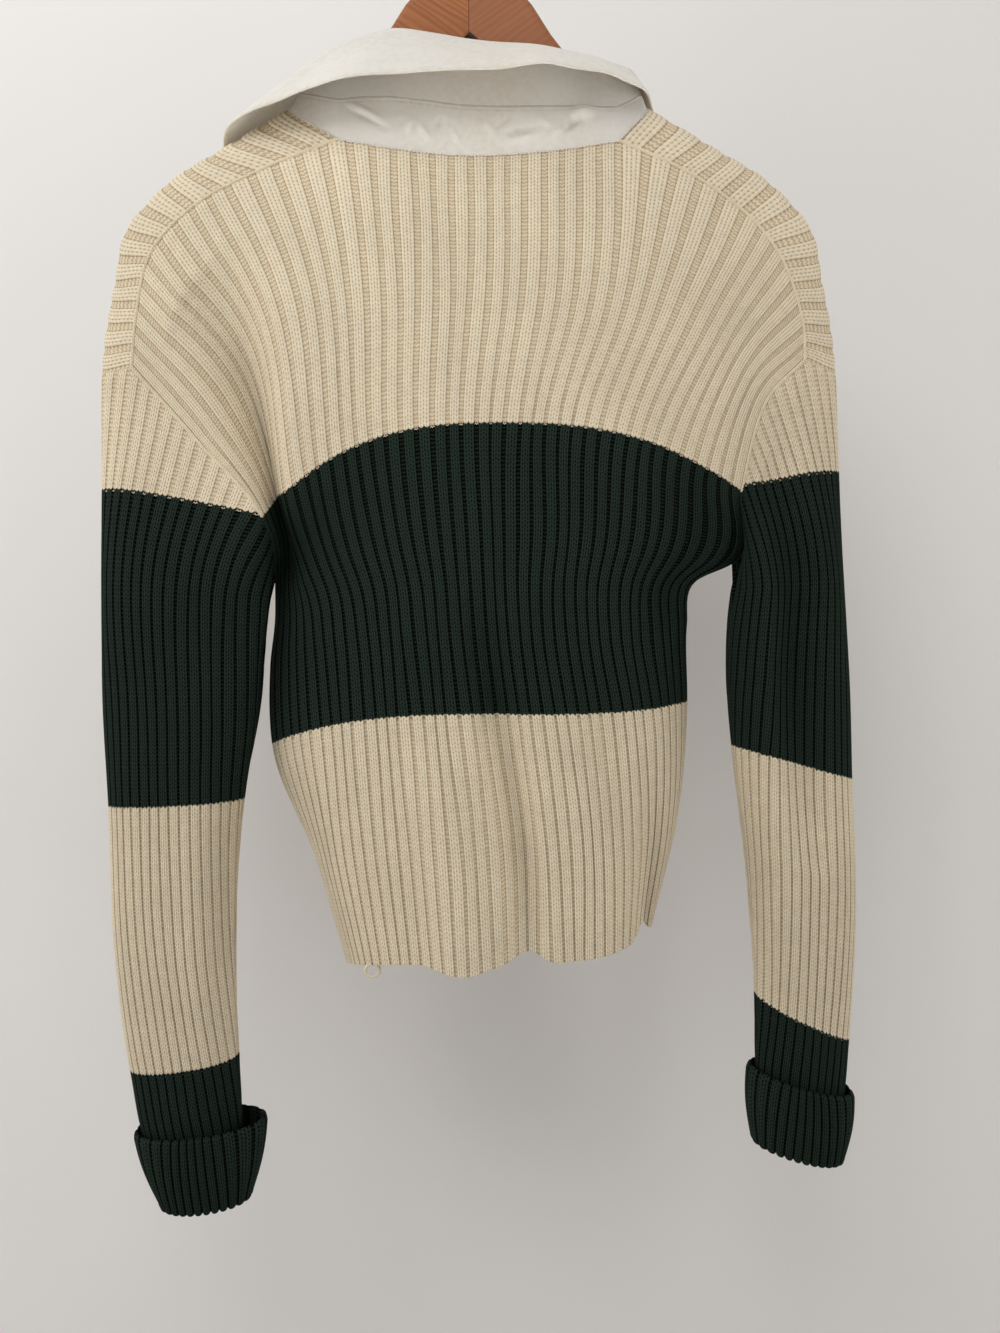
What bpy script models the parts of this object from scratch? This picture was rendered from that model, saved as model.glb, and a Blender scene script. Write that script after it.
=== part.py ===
"""Rib-knit rugby shirt with a woven collar, on a wooden hanger.

+Z is up, the garment's back faces -Y, and the wearer's left is at -X. The origin is the
underside of the hook's top bend, where a rail carries the hanger. Sizes are in millimetres
in the tables and become metres when a mesh is made.
"""

from collections import namedtuple
from math import cos, pi, radians, sin

import bmesh
import bpy
import numpy as np

MM = 0.001

# ---------------------------------------------------------------- cloth
KNIT_WALL = 1.9            # rib-knit cloth from its inside to the bottom of a groove
RIB_HEIGHT = 1.0           # how far a rib stands over its grooves
CUFF_RIB_HEIGHT = 1.3      # the cuffs' ribs are relaxed and bolder
WOVEN_WALL = 1.6           # two layers of shirting with their interlining
SEAM_GAP = 0.3             # between two pieces that are sewn together
INNER_EASE = 1.2           # a sleeve's inner edge keeps this much more off the body's
STAND_EASE = 1.4           # and the collar stand's foot off the front's edge
BODY_RIBS = 42             # on the back panel, and the same on the front
SLEEVE_RIBS = 30           # round a sleeve
CUFF_RIBS = 24             # round a cuff
NECK_RIBS = (13, 29)       # the neck edge lies between these ribs of a panel
SLOT_RIBS = (20, 22)       # the front's slot for the placket

# ---------------------------------------------------------------- body sections
# One row for each course line, hem first. course: height of cloth over the hem at the
# centre. left_* and right_*: the panel's side edges. mid_*: the centre rib. wrap: degrees
# by which the row turns round towards its edges. arch: how flat its middle is.
# *_share: the part of the row's length that its first and last seven ribs take.
Course = namedtuple(
    "Course",
    "name course left_x left_y left_z mid_y mid_z right_x right_y right_z wrap arch "
    "left_share right_share",
)
BACK_COURSES = [
    Course("hem", 0, -80, 6, -722, -64, -708, 120, 6, -697, 92, 2.0, 0.19, 0.19),
    Course("low", 65, -100, 5, -657, -57, -644, 136, 5, -632, 90, 2.0, 0.18, 0.18),
    Course("green_foot", 150, -131, 9, -582, -46, -560, 144, 4, -553, 86, 2.0, 0.16, 0.17),
    Course("waist", 200, -134, 16, -530, -45, -509, 144, 3, -503, 84, 2.2, 0.14, 0.17),
    Course("underarm", 232, -131, 15, -500, -46, -478, 148, -1, -475, 80, 2.4, 0.10, 0.15),
    Course("armpit", 256, -129, 6, -474, -47, -454, 172, -4, -463, 62, 2.6, 0.07, 0.14),
    Course("green_top", 327, -128, -34, -437, -49, -382, 173, -27, -420, 60, 2.7, 0.03, 0.12),
    Course("yoke", 410, -170, -30, -388, -43, -299, 186, -28, -367, 44, 4.6, 0.15, 0.14),
]
FRONT_COURSES = [
    Course("hem", 0, -80, 6, -722, 58, -712, 120, 6, -697, 92, 2.0, 0.17, 0.17),
    Course("low", 65, -100, 5, -657, 52, -647, 136, 5, -632, 90, 2.0, 0.17, 0.17),
    Course("green_foot", 150, -131, 9, -582, 42, -563, 144, 4, -553, 86, 2.0, 0.17, 0.17),
    Course("waist", 200, -134, 16, -530, 43, -512, 144, 3, -503, 84, 2.2, 0.16, 0.17),
    Course("underarm", 232, -131, 15, -500, 44, -480, 148, -1, -475, 86, 2.4, 0.15, 0.16),
    Course("armpit", 256, -129, 6, -474, 43, -456, 172, -4, -463, 76, 2.6, 0.15, 0.15),
    Course("green_top", 327, -134, 12, -440, 40, -386, 178, 14, -426, 60, 2.7, 0.15, 0.15),
    Course("chest", 390, -180, 17, -387, 38, -322, 196, 17, -376, 46, 4.0, 0.15, 0.15),
]

# Edges that follow the hanger: a row for each rib that is named, x outward from the
# hanger's middle on that side.
EdgePoint = namedtuple("EdgePoint", "rib x y z")
SHOULDER_SEAM_LEFT = [
    EdgePoint(0.0, 214.7, -20, -339), EdgePoint(2.5, 212.6, -18, -306),
    EdgePoint(5.0, 205.6, -16, -268), EdgePoint(8.0, 178.6, -16, -236),
    EdgePoint(10.3, 130.6, -18, -211), EdgePoint(13.0, 81.7, -24, -195),
]
SHOULDER_SEAM_RIGHT = [
    EdgePoint(0.0, 215.0, -20, -334), EdgePoint(2.5, 213.7, -18, -307),
    EdgePoint(5.0, 202.7, -16, -271), EdgePoint(8.0, 177.0, -16, -238),
    EdgePoint(10.3, 143.3, -18, -215), EdgePoint(13.0, 95.2, -24, -196),
]
BACK_NECK = [(17.0, -42.0, -29, -203), (21.0, 3.0, -30, -208), (25.0, 50.0, -29, -205)]
SHOULDER_RIDGE = [
    EdgePoint(0.0, 238.5, 0, -334), EdgePoint(2.0, 235.0, 0, -305),
    EdgePoint(4.0, 229.5, 0, -275), EdgePoint(6.0, 222.5, 0, -242),
    EdgePoint(8.0, 197.0, 0, -213), EdgePoint(10.5, 159.0, 0, -189),
    EdgePoint(13.0, 115.0, 0, -163),
]
FRONT_NECKLINE = [
    EdgePoint(0.0, 225.0, 14, -347), EdgePoint(3.0, 222.0, 14, -303),
    EdgePoint(6.0, 214.0, 13, -258), EdgePoint(8.0, 190.0, 13, -230),
    EdgePoint(10.5, 153.0, 13, -206), EdgePoint(13.0, 112.0, 14, -181),
    EdgePoint(16.0, 86.0, 27, -211), EdgePoint(20.0, 30.0, 40, -254),
]
FRONT_MIDDLE = 7.0         # the neck opening's middle lies this far to the wearer's right
SLOT_FOOT = 352            # course at which the placket's slot ends
OVER_COURSES = [456, 467, 475, 483, 505]    # neckline, the bend over the hanger, seam
TOP_COURSE = OVER_COURSES[-1]
RIDGE_HALF = 7             # the cloth's bend over the hanger is this wide to each side
RIDGE_DROP = 5             # and this much lower there

# Largest folds of the body. rib_low and rib_high: the fold's line at its two ends.
# half_width in ribs. depth: out of the cloth's back, negative is a trough.
# lift: how far the cloth is drawn up there. low, high: courses where the fold fades out.
Fold = namedtuple("Fold", "name rib_low rib_high half_width depth lift low high")
BACK_FOLDS = [
    Fold("hem pipe", 17.5, 17.0, 4.0, 9, -6, -60, 150),
    Fold("hem valley", 23.2, 22.0, 2.6, -9, 9, -60, 210),
    Fold("hem roll", 31.0, 30.0, 4.5, 6, 0, -60, 120),
    Fold("hem side trough", 36.0, 35.0, 2.6, -5, 8, -60, 110),
    Fold("waist trough", 32.0, 31.0, 2.8, -4, 0, 90, 200),
    Fold("left armhole fold", 4.4, 5.6, 4.4, -28, 14, 246, 470),
    Fold("left blade trough", 7.5, 7.5, 3.5, -6, 0, 330, 498),
    Fold("right underarm fold", 38.4, 38.0, 3.0, -10, 0, 190, 330),
]
FRONT_FOLDS = [
    Fold("front hem fold", 12.0, 13.0, 4.0, -16, 4, -60, 230),
    Fold("front hem roll", 18.0, 18.0, 4.0, 8, 0, -60, 200),
    Fold("front hem valley", 26.0, 25.0, 3.6, -14, 4, -60, 210),
    Fold("front side roll", 33.0, 32.0, 4.0, 7, 0, -60, 190),
]

# ---------------------------------------------------------------- sleeves
# One row for each ring below the armhole. inner_* and outer_*: the ring's two ends,
# towards the body and away from it. back and front: depth to each side of their line.
# lap: how far the back's inner quarter folds over towards the body.
Ring = namedtuple(
    "Ring", "name drop inner_x inner_y inner_z outer_x outer_y outer_z back front lap"
)
SLEEVE_LEFT_RINGS = [
    Ring("under", 150, -132, 2, -491, -238.5, -2, -484, 36, 14, 12),
    Ring("elbow", 215, -135, -10, -553, -238.5, -2, -553, 26, 19, 4),
    Ring("green_foot", 282, -146, -10, -616, -234, -4, -621, 24, 21, 0),
    Ring("forearm", 385, -152, -8, -717, -229, -6, -717, 22, 20, 0),
    Ring("cuff_green", 456, -150, -8, -782, -218.5, -8, -791, 19, 18, 0),
    Ring("wrist", 512, -147, -8, -838, -205, -8, -846, 17, 16, 0),
    Ring("end", 535, -146, -8, -857, -195, -8, -862, 14.5, 14, 0),
]
SLEEVE_RIGHT_RINGS = [
    Ring("under", 150, 172.5, -4, -481, 244.5, 0, -478, 32, 26, 0),
    Ring("elbow", 205, 169.0, -6, -535, 248.5, 0, -545, 30, 29, 0),
    Ring("green_foot", 260, 172.5, -6, -582, 250.0, 0, -604, 29, 28, 0),
    Ring("forearm", 345, 182.3, -5, -665, 252.0, -2, -684, 26, 26, 0),
    Ring("cuff_green", 425, 187.5, -5, -744, 247.0, -4, -772, 22, 22, 0),
    Ring("wrist", 476, 188.5, -5, -800, 243.0, -5, -812, 19, 19, 0),
    Ring("end", 500, 190.0, -5, -822, 239.0, -5, -834, 16, 16, 0),
]
LAP_TURN = 80              # degrees of the ring's back that fold over
SLEEVE_FOLDS = {
    "sleeve_left": [
        Fold("outer dent", 20.0, 21.0, 3.5, -3, 0, 120, 330),
        Fold("forearm roll", 4.5, 3.5, 3.0, 3, 0, 250, 480),
    ],
    "sleeve_right": [
        Fold("deep vertical fold", 7.0, 7.5, 3.2, -15, 0, 30, 330),
        Fold("elbow crease", 4.0, 5.0, 3.0, 4, 0, 260, 460),
    ],
}

# ---------------------------------------------------------------- cuffs
# The turned-back free edge at a cuff's top: centre, half widths, and how far its outer
# end hangs under its inner end, halved.
CuffRim = namedtuple("CuffRim", "x y z half_x half_y tilt")
CUFF_RIMS = {
    "cuff_left": CuffRim(-174.0, -8, -826, 42.0, 25, 4),
    "cuff_right": CuffRim(216.0, -6, -797, 33.0, 25, 8),
}
CUFF_LAYER_GAP = 2.6       # between the turned-back layer and the sleeve's own end
CUFF_INSIDE = 14           # the cuff's inner layer, from the sleeve's end to the bend
CUFF_BULGE = 2.0           # the turned-back layer swells this much between foot and rim

# ---------------------------------------------------------------- collar
# A row for each station round the neck, from the front end on the wearer's left to the
# one on the right. along: place on the neck edge. roll_*: the leaf's top line.
# edge_*: its free edge.
STAND_SHARE = 0.42         # the stand reaches this part of the way up to the roll
CollarStation = namedtuple(
    "CollarStation", "name along roll_x roll_y roll_z edge_x edge_y edge_z"
)
COLLAR_STATIONS = [
    CollarStation("front end left", 0.00, -36, 52, -222, -80, 52, -300),
    CollarStation("chest left", 0.13, -84, 42, -176, -150, 38, -256),
    CollarStation("ridge left", 0.25, -106, 6, -136, -164, 4, -184),
    CollarStation("neck point left", 0.346, -84, -9, -128, -136, -27, -179),
    CollarStation("back left", 0.40, -54, -14, -121, -84, -47, -173),
    CollarStation("back", 0.50, 2, -17, -129, 4, -53, -169),
    CollarStation("back right", 0.60, 62, -15, -134, 66, -48, -164),
    CollarStation("neck point right", 0.663, 94, -7, -138, 104, -28, -163),
    CollarStation("ridge right", 0.745, 110, 7, -139, 121, 2, -160),
    CollarStation("chest right", 0.88, 92, 42, -180, 142, 38, -236),
    CollarStation("front end right", 1.00, 50, 52, -222, 94, 52, -294),
]
COLLAR_COLUMNS = 50
CORNER = 8                 # a bend of the neck edge that the stand's foot meets, degrees
STAND_ROWS = (0.0, 0.5, 1.0)
LEAF_ROWS = (0.0, 0.34, 0.45, 0.5, 0.56, 0.76, 1.0)

# ---------------------------------------------------------------- placket and buttons
# side: the slot's edge it is sewn to. sewn: how far it lies on the panel. free: how far it
# reaches over the slot. lift_*: its middle over the cloth's grooves at these two edges.
# reach: how far it goes on below the slot.
Band = namedtuple("Band", "name side sewn free lift_sewn lift_free reach")
BANDS = [
    Band("placket_over", -1, 3, 20, 2.3, 5.4, 14),
    Band("placket_under", 1, 3, 13, 2.3, -0.2, -1.5),
]
BAND_WALL = 1.6
BUTTON_RADIUS = 5.6
BUTTON_THICK = 2.8
BUTTON_PLACES = (0.12, 0.33, 0.54)      # along the slot, from the neck
BUTTON_ACROSS = 0.55       # and across the under band
BUTTON_SIDES = 16

# ---------------------------------------------------------------- hanger
HANGER_THICK = 11
HANGER_BEVEL = 4
ARM_DROP = 4.6             # the arm's top lies this far under the cloth's ridge line
MITRE_GAP = 0.3
HANGER_NECK = [
    (0, -62), (10, -64), (24, -76), (42, -97), (54, -116), (66, -131.5), (86, -149),
]
ARM_TIP = [
    (184, -210), (197, -220.5), (207, -233), (212, -241), (213, -248), (208, -252), (200, -250),
]
HANGER_FOOT = [(160, -226), (112, -198), (66, -174), (34, -152), (14, -134), (0, -120)]
HOOK_WIRE = 4.2            # wire diameter
HOOK_RADIUS = 19           # inside of the bend
HOOK_FOOT = -78            # the stem is seated this low in the wood
HOOK_START = -55           # degrees on the bend's circle where the stem joins it
HOOK_END = 205             # and where the wire ends
HOOK_BORE = 4.9            # bore in the wood for the stem


# ---------------------------------------------------------------- curves and grids
def smooth(knots, values, at):
    """Values of the smooth curve through (knots, values), at the given places."""
    knots = np.asarray(knots, float)
    values = np.asarray(values, float)
    at = np.atleast_1d(np.asarray(at, float))
    steps = np.diff(knots)
    slopes = np.diff(values, axis=0) / steps.reshape((-1,) + (1,) * (values.ndim - 1))
    tangents = np.empty_like(values)
    tangents[0], tangents[-1] = slopes[0], slopes[-1]
    near = steps[:-1].reshape((-1,) + (1,) * (values.ndim - 1))
    far = steps[1:].reshape((-1,) + (1,) * (values.ndim - 1))
    tangents[1:-1] = (slopes[:-1] * far + slopes[1:] * near) / (near + far)
    index = np.clip(np.searchsorted(knots, at, side="right") - 1, 0, len(knots) - 2)
    step = steps[index]
    t = (at - knots[index]) / step
    shape = (-1,) + (1,) * (values.ndim - 1)
    t, step = t.reshape(shape), step.reshape(shape)
    return (
        values[index] * (1 + 2 * t) * (1 - t) ** 2
        + tangents[index] * step * t * (1 - t) ** 2
        + values[index + 1] * t * t * (3 - 2 * t)
        + tangents[index + 1] * step * t * t * (t - 1)
    )


def hump(distance):
    """1 at no distance, falling smoothly to 0 at distance 1 and beyond."""
    near = np.clip(np.abs(distance), 0, 1)
    return 0.5 + 0.5 * np.cos(pi * near)


def course_line(course, ribs):
    """Points of one course line at the given ribs, spaced by length along the line."""
    turn = np.radians(course.wrap) * np.linspace(-1, 1, 241)
    across = np.sin(turn) / sin(radians(min(course.wrap, 90)))
    fall = (np.cos(turn) - cos(radians(course.wrap))) / (1 - cos(radians(course.wrap)))
    side = 0.5 + 0.5 * np.clip(across, -1, 1)
    edge_y = course.left_y + (course.right_y - course.left_y) * side
    edge_z = course.left_z + (course.right_z - course.left_z) * side
    middle = 0.5 * (course.left_x + course.right_x)
    half = 0.5 * (course.right_x - course.left_x)
    arch = np.abs(np.clip(across, -1, 1)) ** course.arch
    line = np.stack(
        [
            middle + half * across,
            edge_y + (course.mid_y - edge_y) * fall,
            course.mid_z + (edge_z - course.mid_z) * arch,
        ],
        axis=1,
    )
    length = np.concatenate([[0], np.cumsum(np.linalg.norm(np.diff(line, axis=0), axis=1))])
    share = smooth(
        [0, 7, 21, 35, 42],
        [0, course.left_share, 0.5 + 0.5 * (course.left_share - course.right_share),
         1 - course.right_share, 1],
        ribs,
    )
    at = np.clip(share, 0, 1) * length[-1]
    return np.stack([np.interp(at, length, line[:, axis]) for axis in range(3)], axis=1)


def edge_line(left, middle, right, ribs):
    """Points of an edge at the given ribs, from its left, middle and right tables."""
    rows = [(p.rib, -p.x, p.y, p.z) for p in left]
    rows += middle
    rows += [(BODY_RIBS - p.rib, p.x, p.y, p.z) for p in reversed(right)]
    table = np.array(rows, float)
    return smooth(table[:, 0], table[:, 1:], ribs)


def split_edge_line(left, middle, right, ribs):
    """As edge_line, but with a corner where the shoulder meets the neck."""
    ribs = np.asarray(ribs, float)
    low, high = NECK_RIBS
    line = edge_line(left, middle, right, ribs)
    corner_l = (left[-1].rib, -left[-1].x, left[-1].y, left[-1].z)
    corner_r = (BODY_RIBS - right[-1].rib, right[-1].x, right[-1].y, right[-1].z)
    neck = np.array([corner_l, *middle, corner_r], float)
    parts = (
        (ribs <= low, np.array([(p.rib, -p.x, p.y, p.z) for p in left], float)),
        ((ribs > low) & (ribs < high), neck),
        (ribs >= high, np.array(
            [(BODY_RIBS - p.rib, p.x, p.y, p.z) for p in reversed(right)], float)),
    )
    for chosen, table in parts:
        line[chosen] = smooth(table[:, 0], table[:, 1:], ribs[chosen])
    return line


def fold_shift(folds, ribs, courses):
    """Two grids: how far folds push the cloth out, and how far they draw it up."""
    out = np.zeros((len(courses), len(ribs)))
    up = np.zeros_like(out)
    for fold in folds:
        along = np.clip((courses - fold.low) / (fold.high - fold.low), 0, 1)
        line = fold.rib_low + (fold.rib_high - fold.rib_low) * along
        strength = np.sin(pi * along) ** 0.8
        across = hump((ribs[None, :] - line[:, None]) / fold.half_width)
        out += fold.depth * strength[:, None] * across
        up += fold.lift * strength[:, None] * across
    return out, up


def back_grid(ribs, courses):
    """The back panel's surface: rows at the given courses, columns at the given ribs."""
    ribs = np.asarray(ribs, float)
    courses = np.asarray(courses, float)
    rows = [course_line(course, ribs) for course in BACK_COURSES]
    knots = [course.course for course in BACK_COURSES]
    rows.append(split_edge_line(SHOULDER_SEAM_LEFT, BACK_NECK, SHOULDER_SEAM_RIGHT, ribs))
    knots.append(TOP_COURSE)
    grid = smooth(knots, np.array(rows), courses)
    out, up = fold_shift(BACK_FOLDS, ribs, courses)
    grid[:, :, 1] -= out
    grid[:, :, 2] += up
    return grid


def front_neckline(ribs):
    """The front's line from armhole to armhole, down round the neck's opening."""
    right = [
        p._replace(x=p.x + 2 * FRONT_MIDDLE * (p.rib >= NECK_RIBS[0])) for p in FRONT_NECKLINE
    ]
    return edge_line(FRONT_NECKLINE, [], right, ribs)


def front_grid(ribs, courses):
    """The front panel's surface. Its last three knots are neckline, ridge and seam."""
    ribs = np.asarray(ribs, float)
    courses = np.asarray(courses, float)
    rows = [course_line(course, ribs) for course in FRONT_COURSES]
    knots = [course.course for course in FRONT_COURSES]
    ridge = edge_line(SHOULDER_RIDGE, [], SHOULDER_RIDGE, ribs)
    rows.append(front_neckline(ribs))
    rows.append(ridge + (0, RIDGE_HALF, -RIDGE_DROP))
    rows.append(ridge)
    rows.append(ridge - (0, RIDGE_HALF, RIDGE_DROP))
    rows.append(edge_line(SHOULDER_SEAM_LEFT, [], SHOULDER_SEAM_RIGHT, ribs))
    knots += OVER_COURSES
    rows = np.array(rows)
    neckline = knots.index(OVER_COURSES[0])
    below = courses <= OVER_COURSES[0]
    grid = np.empty((len(courses), len(ribs), 3))
    grid[below] = smooth(knots[:neckline + 1], rows[:neckline + 1], courses[below])
    grid[~below] = smooth(knots[neckline:], rows[neckline:], courses[~below])
    out, up = fold_shift(FRONT_FOLDS, ribs, courses)
    grid[:, :, 1] += out
    grid[:, :, 2] += up
    return grid


def surface_normals(grid, round_columns=False):
    """Unit normals of a grid of points: rows upward and columns towards +X look at -Y."""
    up = np.gradient(grid, axis=0)
    if round_columns:
        along = np.roll(grid, -1, axis=1) - np.roll(grid, 1, axis=1)
    else:
        along = np.gradient(grid, axis=1)
    normal = np.cross(along, up)
    length = np.linalg.norm(normal, axis=2, keepdims=True)
    return normal / np.maximum(length, 1e-9)


# ---------------------------------------------------------------- solids
def shell(outer, inner, inner_at, cells=None, round_columns=False):
    """Points and faces of a closed wall between two grids.

    inner_at gives, for each inner column, the outer column that it lies under. cells says
    which cells between the inner columns hold cloth. The outer grid's faces look out with
    rows upward and columns towards +X seen from -Y.
    """
    rows, columns = outer.shape[:2]
    inner_columns = inner.shape[1]
    spans = inner_columns if round_columns else inner_columns - 1
    if cells is None:
        cells = np.ones((rows - 1, spans), bool)
    points = np.concatenate([outer.reshape(-1, 3), inner.reshape(-1, 3)])
    offset = rows * columns

    def out(row, column):
        return row * columns + column % columns

    def inn(row, span):
        return offset + row * inner_columns + span % inner_columns

    def ends(span):
        first = inner_at[span % inner_columns]
        last = inner_at[(span + 1) % inner_columns]
        return first, last if last > first else last + columns

    def has(row, span):
        if round_columns:
            span %= spans
        return 0 <= row < rows - 1 and 0 <= span < spans and cells[row, span]

    faces = []
    for row in range(rows - 1):
        for span in range(spans):
            if not cells[row, span]:
                continue
            first, last = ends(span)
            for column in range(first, last):
                faces.append((out(row, column), out(row, column + 1),
                              out(row + 1, column + 1), out(row + 1, column)))
            faces.append((inn(row, span), inn(row + 1, span),
                          inn(row + 1, span + 1), inn(row, span + 1)))
            middle = (first + last) // 2
            for edge, below in ((row, True), (row + 1, False)):
                if has(row - 1 if below else row + 1, span):
                    continue
                rim = [(inn(edge, span), out(edge, c), out(edge, c + 1))
                       for c in range(first, middle)]
                rim.append((inn(edge, span), out(edge, middle), inn(edge, span + 1)))
                rim += [(inn(edge, span + 1), out(edge, c), out(edge, c + 1))
                        for c in range(middle, last)]
                faces += [face[::-1] if below else face for face in rim]
            if not has(row, span - 1):
                faces.append((out(row, first), out(row + 1, first),
                              inn(row + 1, span), inn(row, span)))
            if not has(row, span + 1):
                faces.append((out(row, last), inn(row, span + 1),
                              inn(row + 1, span + 1), out(row + 1, last)))
    return points, faces


def make_object(name, points, faces, finish, smooth_angle=40):
    """A mesh object from points in millimetres; points that no face uses are left out."""
    used = sorted({index for face in faces for index in face})
    place = {old: new for new, old in enumerate(used)}
    mesh = bpy.data.meshes.new(name)
    mesh.from_pydata(
        [tuple(points[index] * MM) for index in used],
        [],
        [tuple(place[index] for index in face) for face in faces],
    )
    shape = bmesh.new()
    shape.from_mesh(mesh)
    bmesh.ops.triangulate(shape, faces=shape.faces[:])
    bmesh.ops.recalc_face_normals(shape, faces=shape.faces[:])
    shape.to_mesh(mesh)
    shape.free()
    mesh.shade_smooth()
    mesh.set_sharp_from_angle(angle=radians(smooth_angle))
    piece = bpy.data.objects.new(name, mesh)
    bpy.context.scene.collection.objects.link(piece)
    mesh.materials.append(finish)
    return piece


def finish_of(name, colour, roughness, metallic=0.0):
    material = bpy.data.materials.new(name)
    material.use_nodes = True
    shader = material.node_tree.nodes["Principled BSDF"]
    shader.inputs["Base Color"].default_value = (*colour, 1.0)
    shader.inputs["Roughness"].default_value = roughness
    shader.inputs["Metallic"].default_value = metallic
    material.diffuse_color = (*colour, 1.0)
    return material


def rib_columns(ribs):
    """Outer columns of a piece: a groove at each whole rib and a ridge between two."""
    return np.arange(2 * ribs + 1) / 2


def rib_relief(columns, height):
    """Height of the cloth's outer points over its grooves, for columns in ribs."""
    return (height * (np.round(2 * columns) % 2))[None, :, None]


def unit(vectors):
    return vectors / np.maximum(np.linalg.norm(vectors, axis=-1, keepdims=True), 1e-9)


def lengths_along(line):
    return np.concatenate([[0], np.cumsum(np.linalg.norm(np.diff(line, axis=0), axis=1))])


def sample(line, values, at):
    """Values given at a line's points, read in proportion at lengths along the line."""
    length = lengths_along(line)
    return np.stack([np.interp(at, length, column) for column in values.T], axis=1)


def drawn_back(grid, edge, near, amount):
    """An edge row of a grid, drawn back along the surface towards the row beside it."""
    return grid[edge] + amount * unit(grid[near] - grid[edge])


# ---------------------------------------------------------------- body
SIDE_ROWS = [0, 65, 150, 200, 232, 256]
BACK_ROWS = SIDE_ROWS + [290, 327, 368, 410, 458, TOP_COURSE]
FRONT_ROWS = SIDE_ROWS + [327, SLOT_FOOT, 390, 424] + OVER_COURSES


class Panel:
    """A panel's base surface, its outward normals, and the rib of each column."""

    def __init__(self, grid, outward, rows):
        self.ribs = rib_columns(BODY_RIBS)
        self.rows = rows
        self.grid = grid
        self.out = surface_normals(grid) * outward

    def row(self, course):
        return self.rows.index(course)


def share_normals(groups):
    """Gives each group of (panel, row, column) places one common normal."""
    for group in groups:
        mean = unit(sum(panel.out[row, column] for panel, row, column in group))
        for panel, row, column in group:
            panel.out[row, column] = mean


def body_panels():
    ribs = rib_columns(BODY_RIBS)
    back = Panel(back_grid(ribs, BACK_ROWS), 1, BACK_ROWS)
    front = Panel(front_grid(ribs, FRONT_ROWS), -1, FRONT_ROWS)
    sides = [
        [(back, row, edge), (front, row, edge)]
        for row in range(len(SIDE_ROWS)) for edge in (0, -1)
    ]
    low, high = (2 * rib for rib in NECK_RIBS)
    shoulder = [*range(low + 1), *range(high, 2 * BODY_RIBS + 1)]
    seams = [[(back, -1, column), (front, -1, column)] for column in shoulder]
    share_normals(sides + seams)
    return back, front


def panel_object(name, panel, finish, cells=None):
    """The solid of a panel: ribs outside, plain inside, drawn back at its sewn edges."""
    grid = panel.grid.copy()
    half = SEAM_GAP / 2
    grid[-1] = drawn_back(panel.grid, -1, -2, half)
    sideways = grid.swapaxes(0, 1)
    ends = drawn_back(sideways, 0, 1, half), drawn_back(sideways, -1, -2, half)
    grid[:, 0], grid[:, -1] = ends
    outer = grid + rib_relief(panel.ribs, RIB_HEIGHT) * panel.out
    at = inner_columns()
    return make_object(name, *shell(outer, (grid - KNIT_WALL * panel.out)[:, at], at, cells),
                       finish)


def inner_columns():
    """The inner surface has a column at the edges, the neck, the slot and each 2nd rib."""
    ribs = {0, BODY_RIBS, *NECK_RIBS, *SLOT_RIBS}
    ribs |= set(range(1, NECK_RIBS[0], 2)) | set(range(NECK_RIBS[1], BODY_RIBS, 2))
    ribs |= {15, 17, 19, 24, 26, 28}
    return [2 * rib for rib in sorted(ribs)]


def front_cells():
    """Which cells of the front hold cloth: not those of the neck or the placket's slot."""
    spans = np.array(inner_columns()) / 2
    cells = np.ones((len(FRONT_ROWS) - 1, len(spans) - 1), bool)
    for row, course in enumerate(FRONT_ROWS[:-1]):
        for span, rib in enumerate(spans[:-1]):
            in_neck = course >= OVER_COURSES[0] and NECK_RIBS[0] <= rib < NECK_RIBS[1]
            in_slot = course >= SLOT_FOOT and SLOT_RIBS[0] <= rib < SLOT_RIBS[1]
            cells[row, span] = not (in_neck or in_slot)
    return cells


# ---------------------------------------------------------------- sleeves
def armhole(back, front, column):
    """The places of the body's edge round an armhole, from the armpit up the back."""
    first = len(SIDE_ROWS) - 1
    loop = [[(back, row, column), (front, row, column)] for row in (first,)]
    loop += [[(back, row, column)] for row in range(first + 1, len(BACK_ROWS) - 1)]
    loop.append([(back, -1, column), (front, -1, column)])
    loop += [[(front, row, column)] for row in range(len(FRONT_ROWS) - 2, first, -1)]
    return loop + loop[:1]


def ring_line(ring, steps=360):
    """A sleeve's flattened ring, from its inner end over the back and round."""
    turn = np.linspace(0, 2 * pi, 2 * steps + 1)
    share = (0.5 - 0.5 * np.cos(turn))[:, None]
    inner = np.array([ring.inner_x, ring.inner_y, ring.inner_z], float)
    outer = np.array([ring.outer_x, ring.outer_y, ring.outer_z], float)
    line = inner + (outer - inner) * share
    line[:, 1] -= np.where(turn <= pi, ring.back, ring.front) * np.sin(turn)
    lap = np.sin(pi * np.clip(turn / radians(LAP_TURN), 0, 1)) ** 2
    line[:, 0] -= np.sign(ring.inner_x) * ring.lap * lap
    return line


def halves_at(line, middle, columns):
    """Lengths along a closed line for columns spaced evenly on each of its halves."""
    length = lengths_along(line)
    first = np.linspace(0, length[middle], columns // 2 + 1)
    second = np.linspace(length[middle], length[-1], columns - columns // 2 + 1)
    return np.concatenate([first, second[1:-1]])


def snapped(at, corners):
    """The same lengths, with the nearest one moved on to each corner."""
    at = at.copy()
    for corner in corners:
        at[np.argmin(np.abs(at - corner))] = corner
    return at


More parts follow.
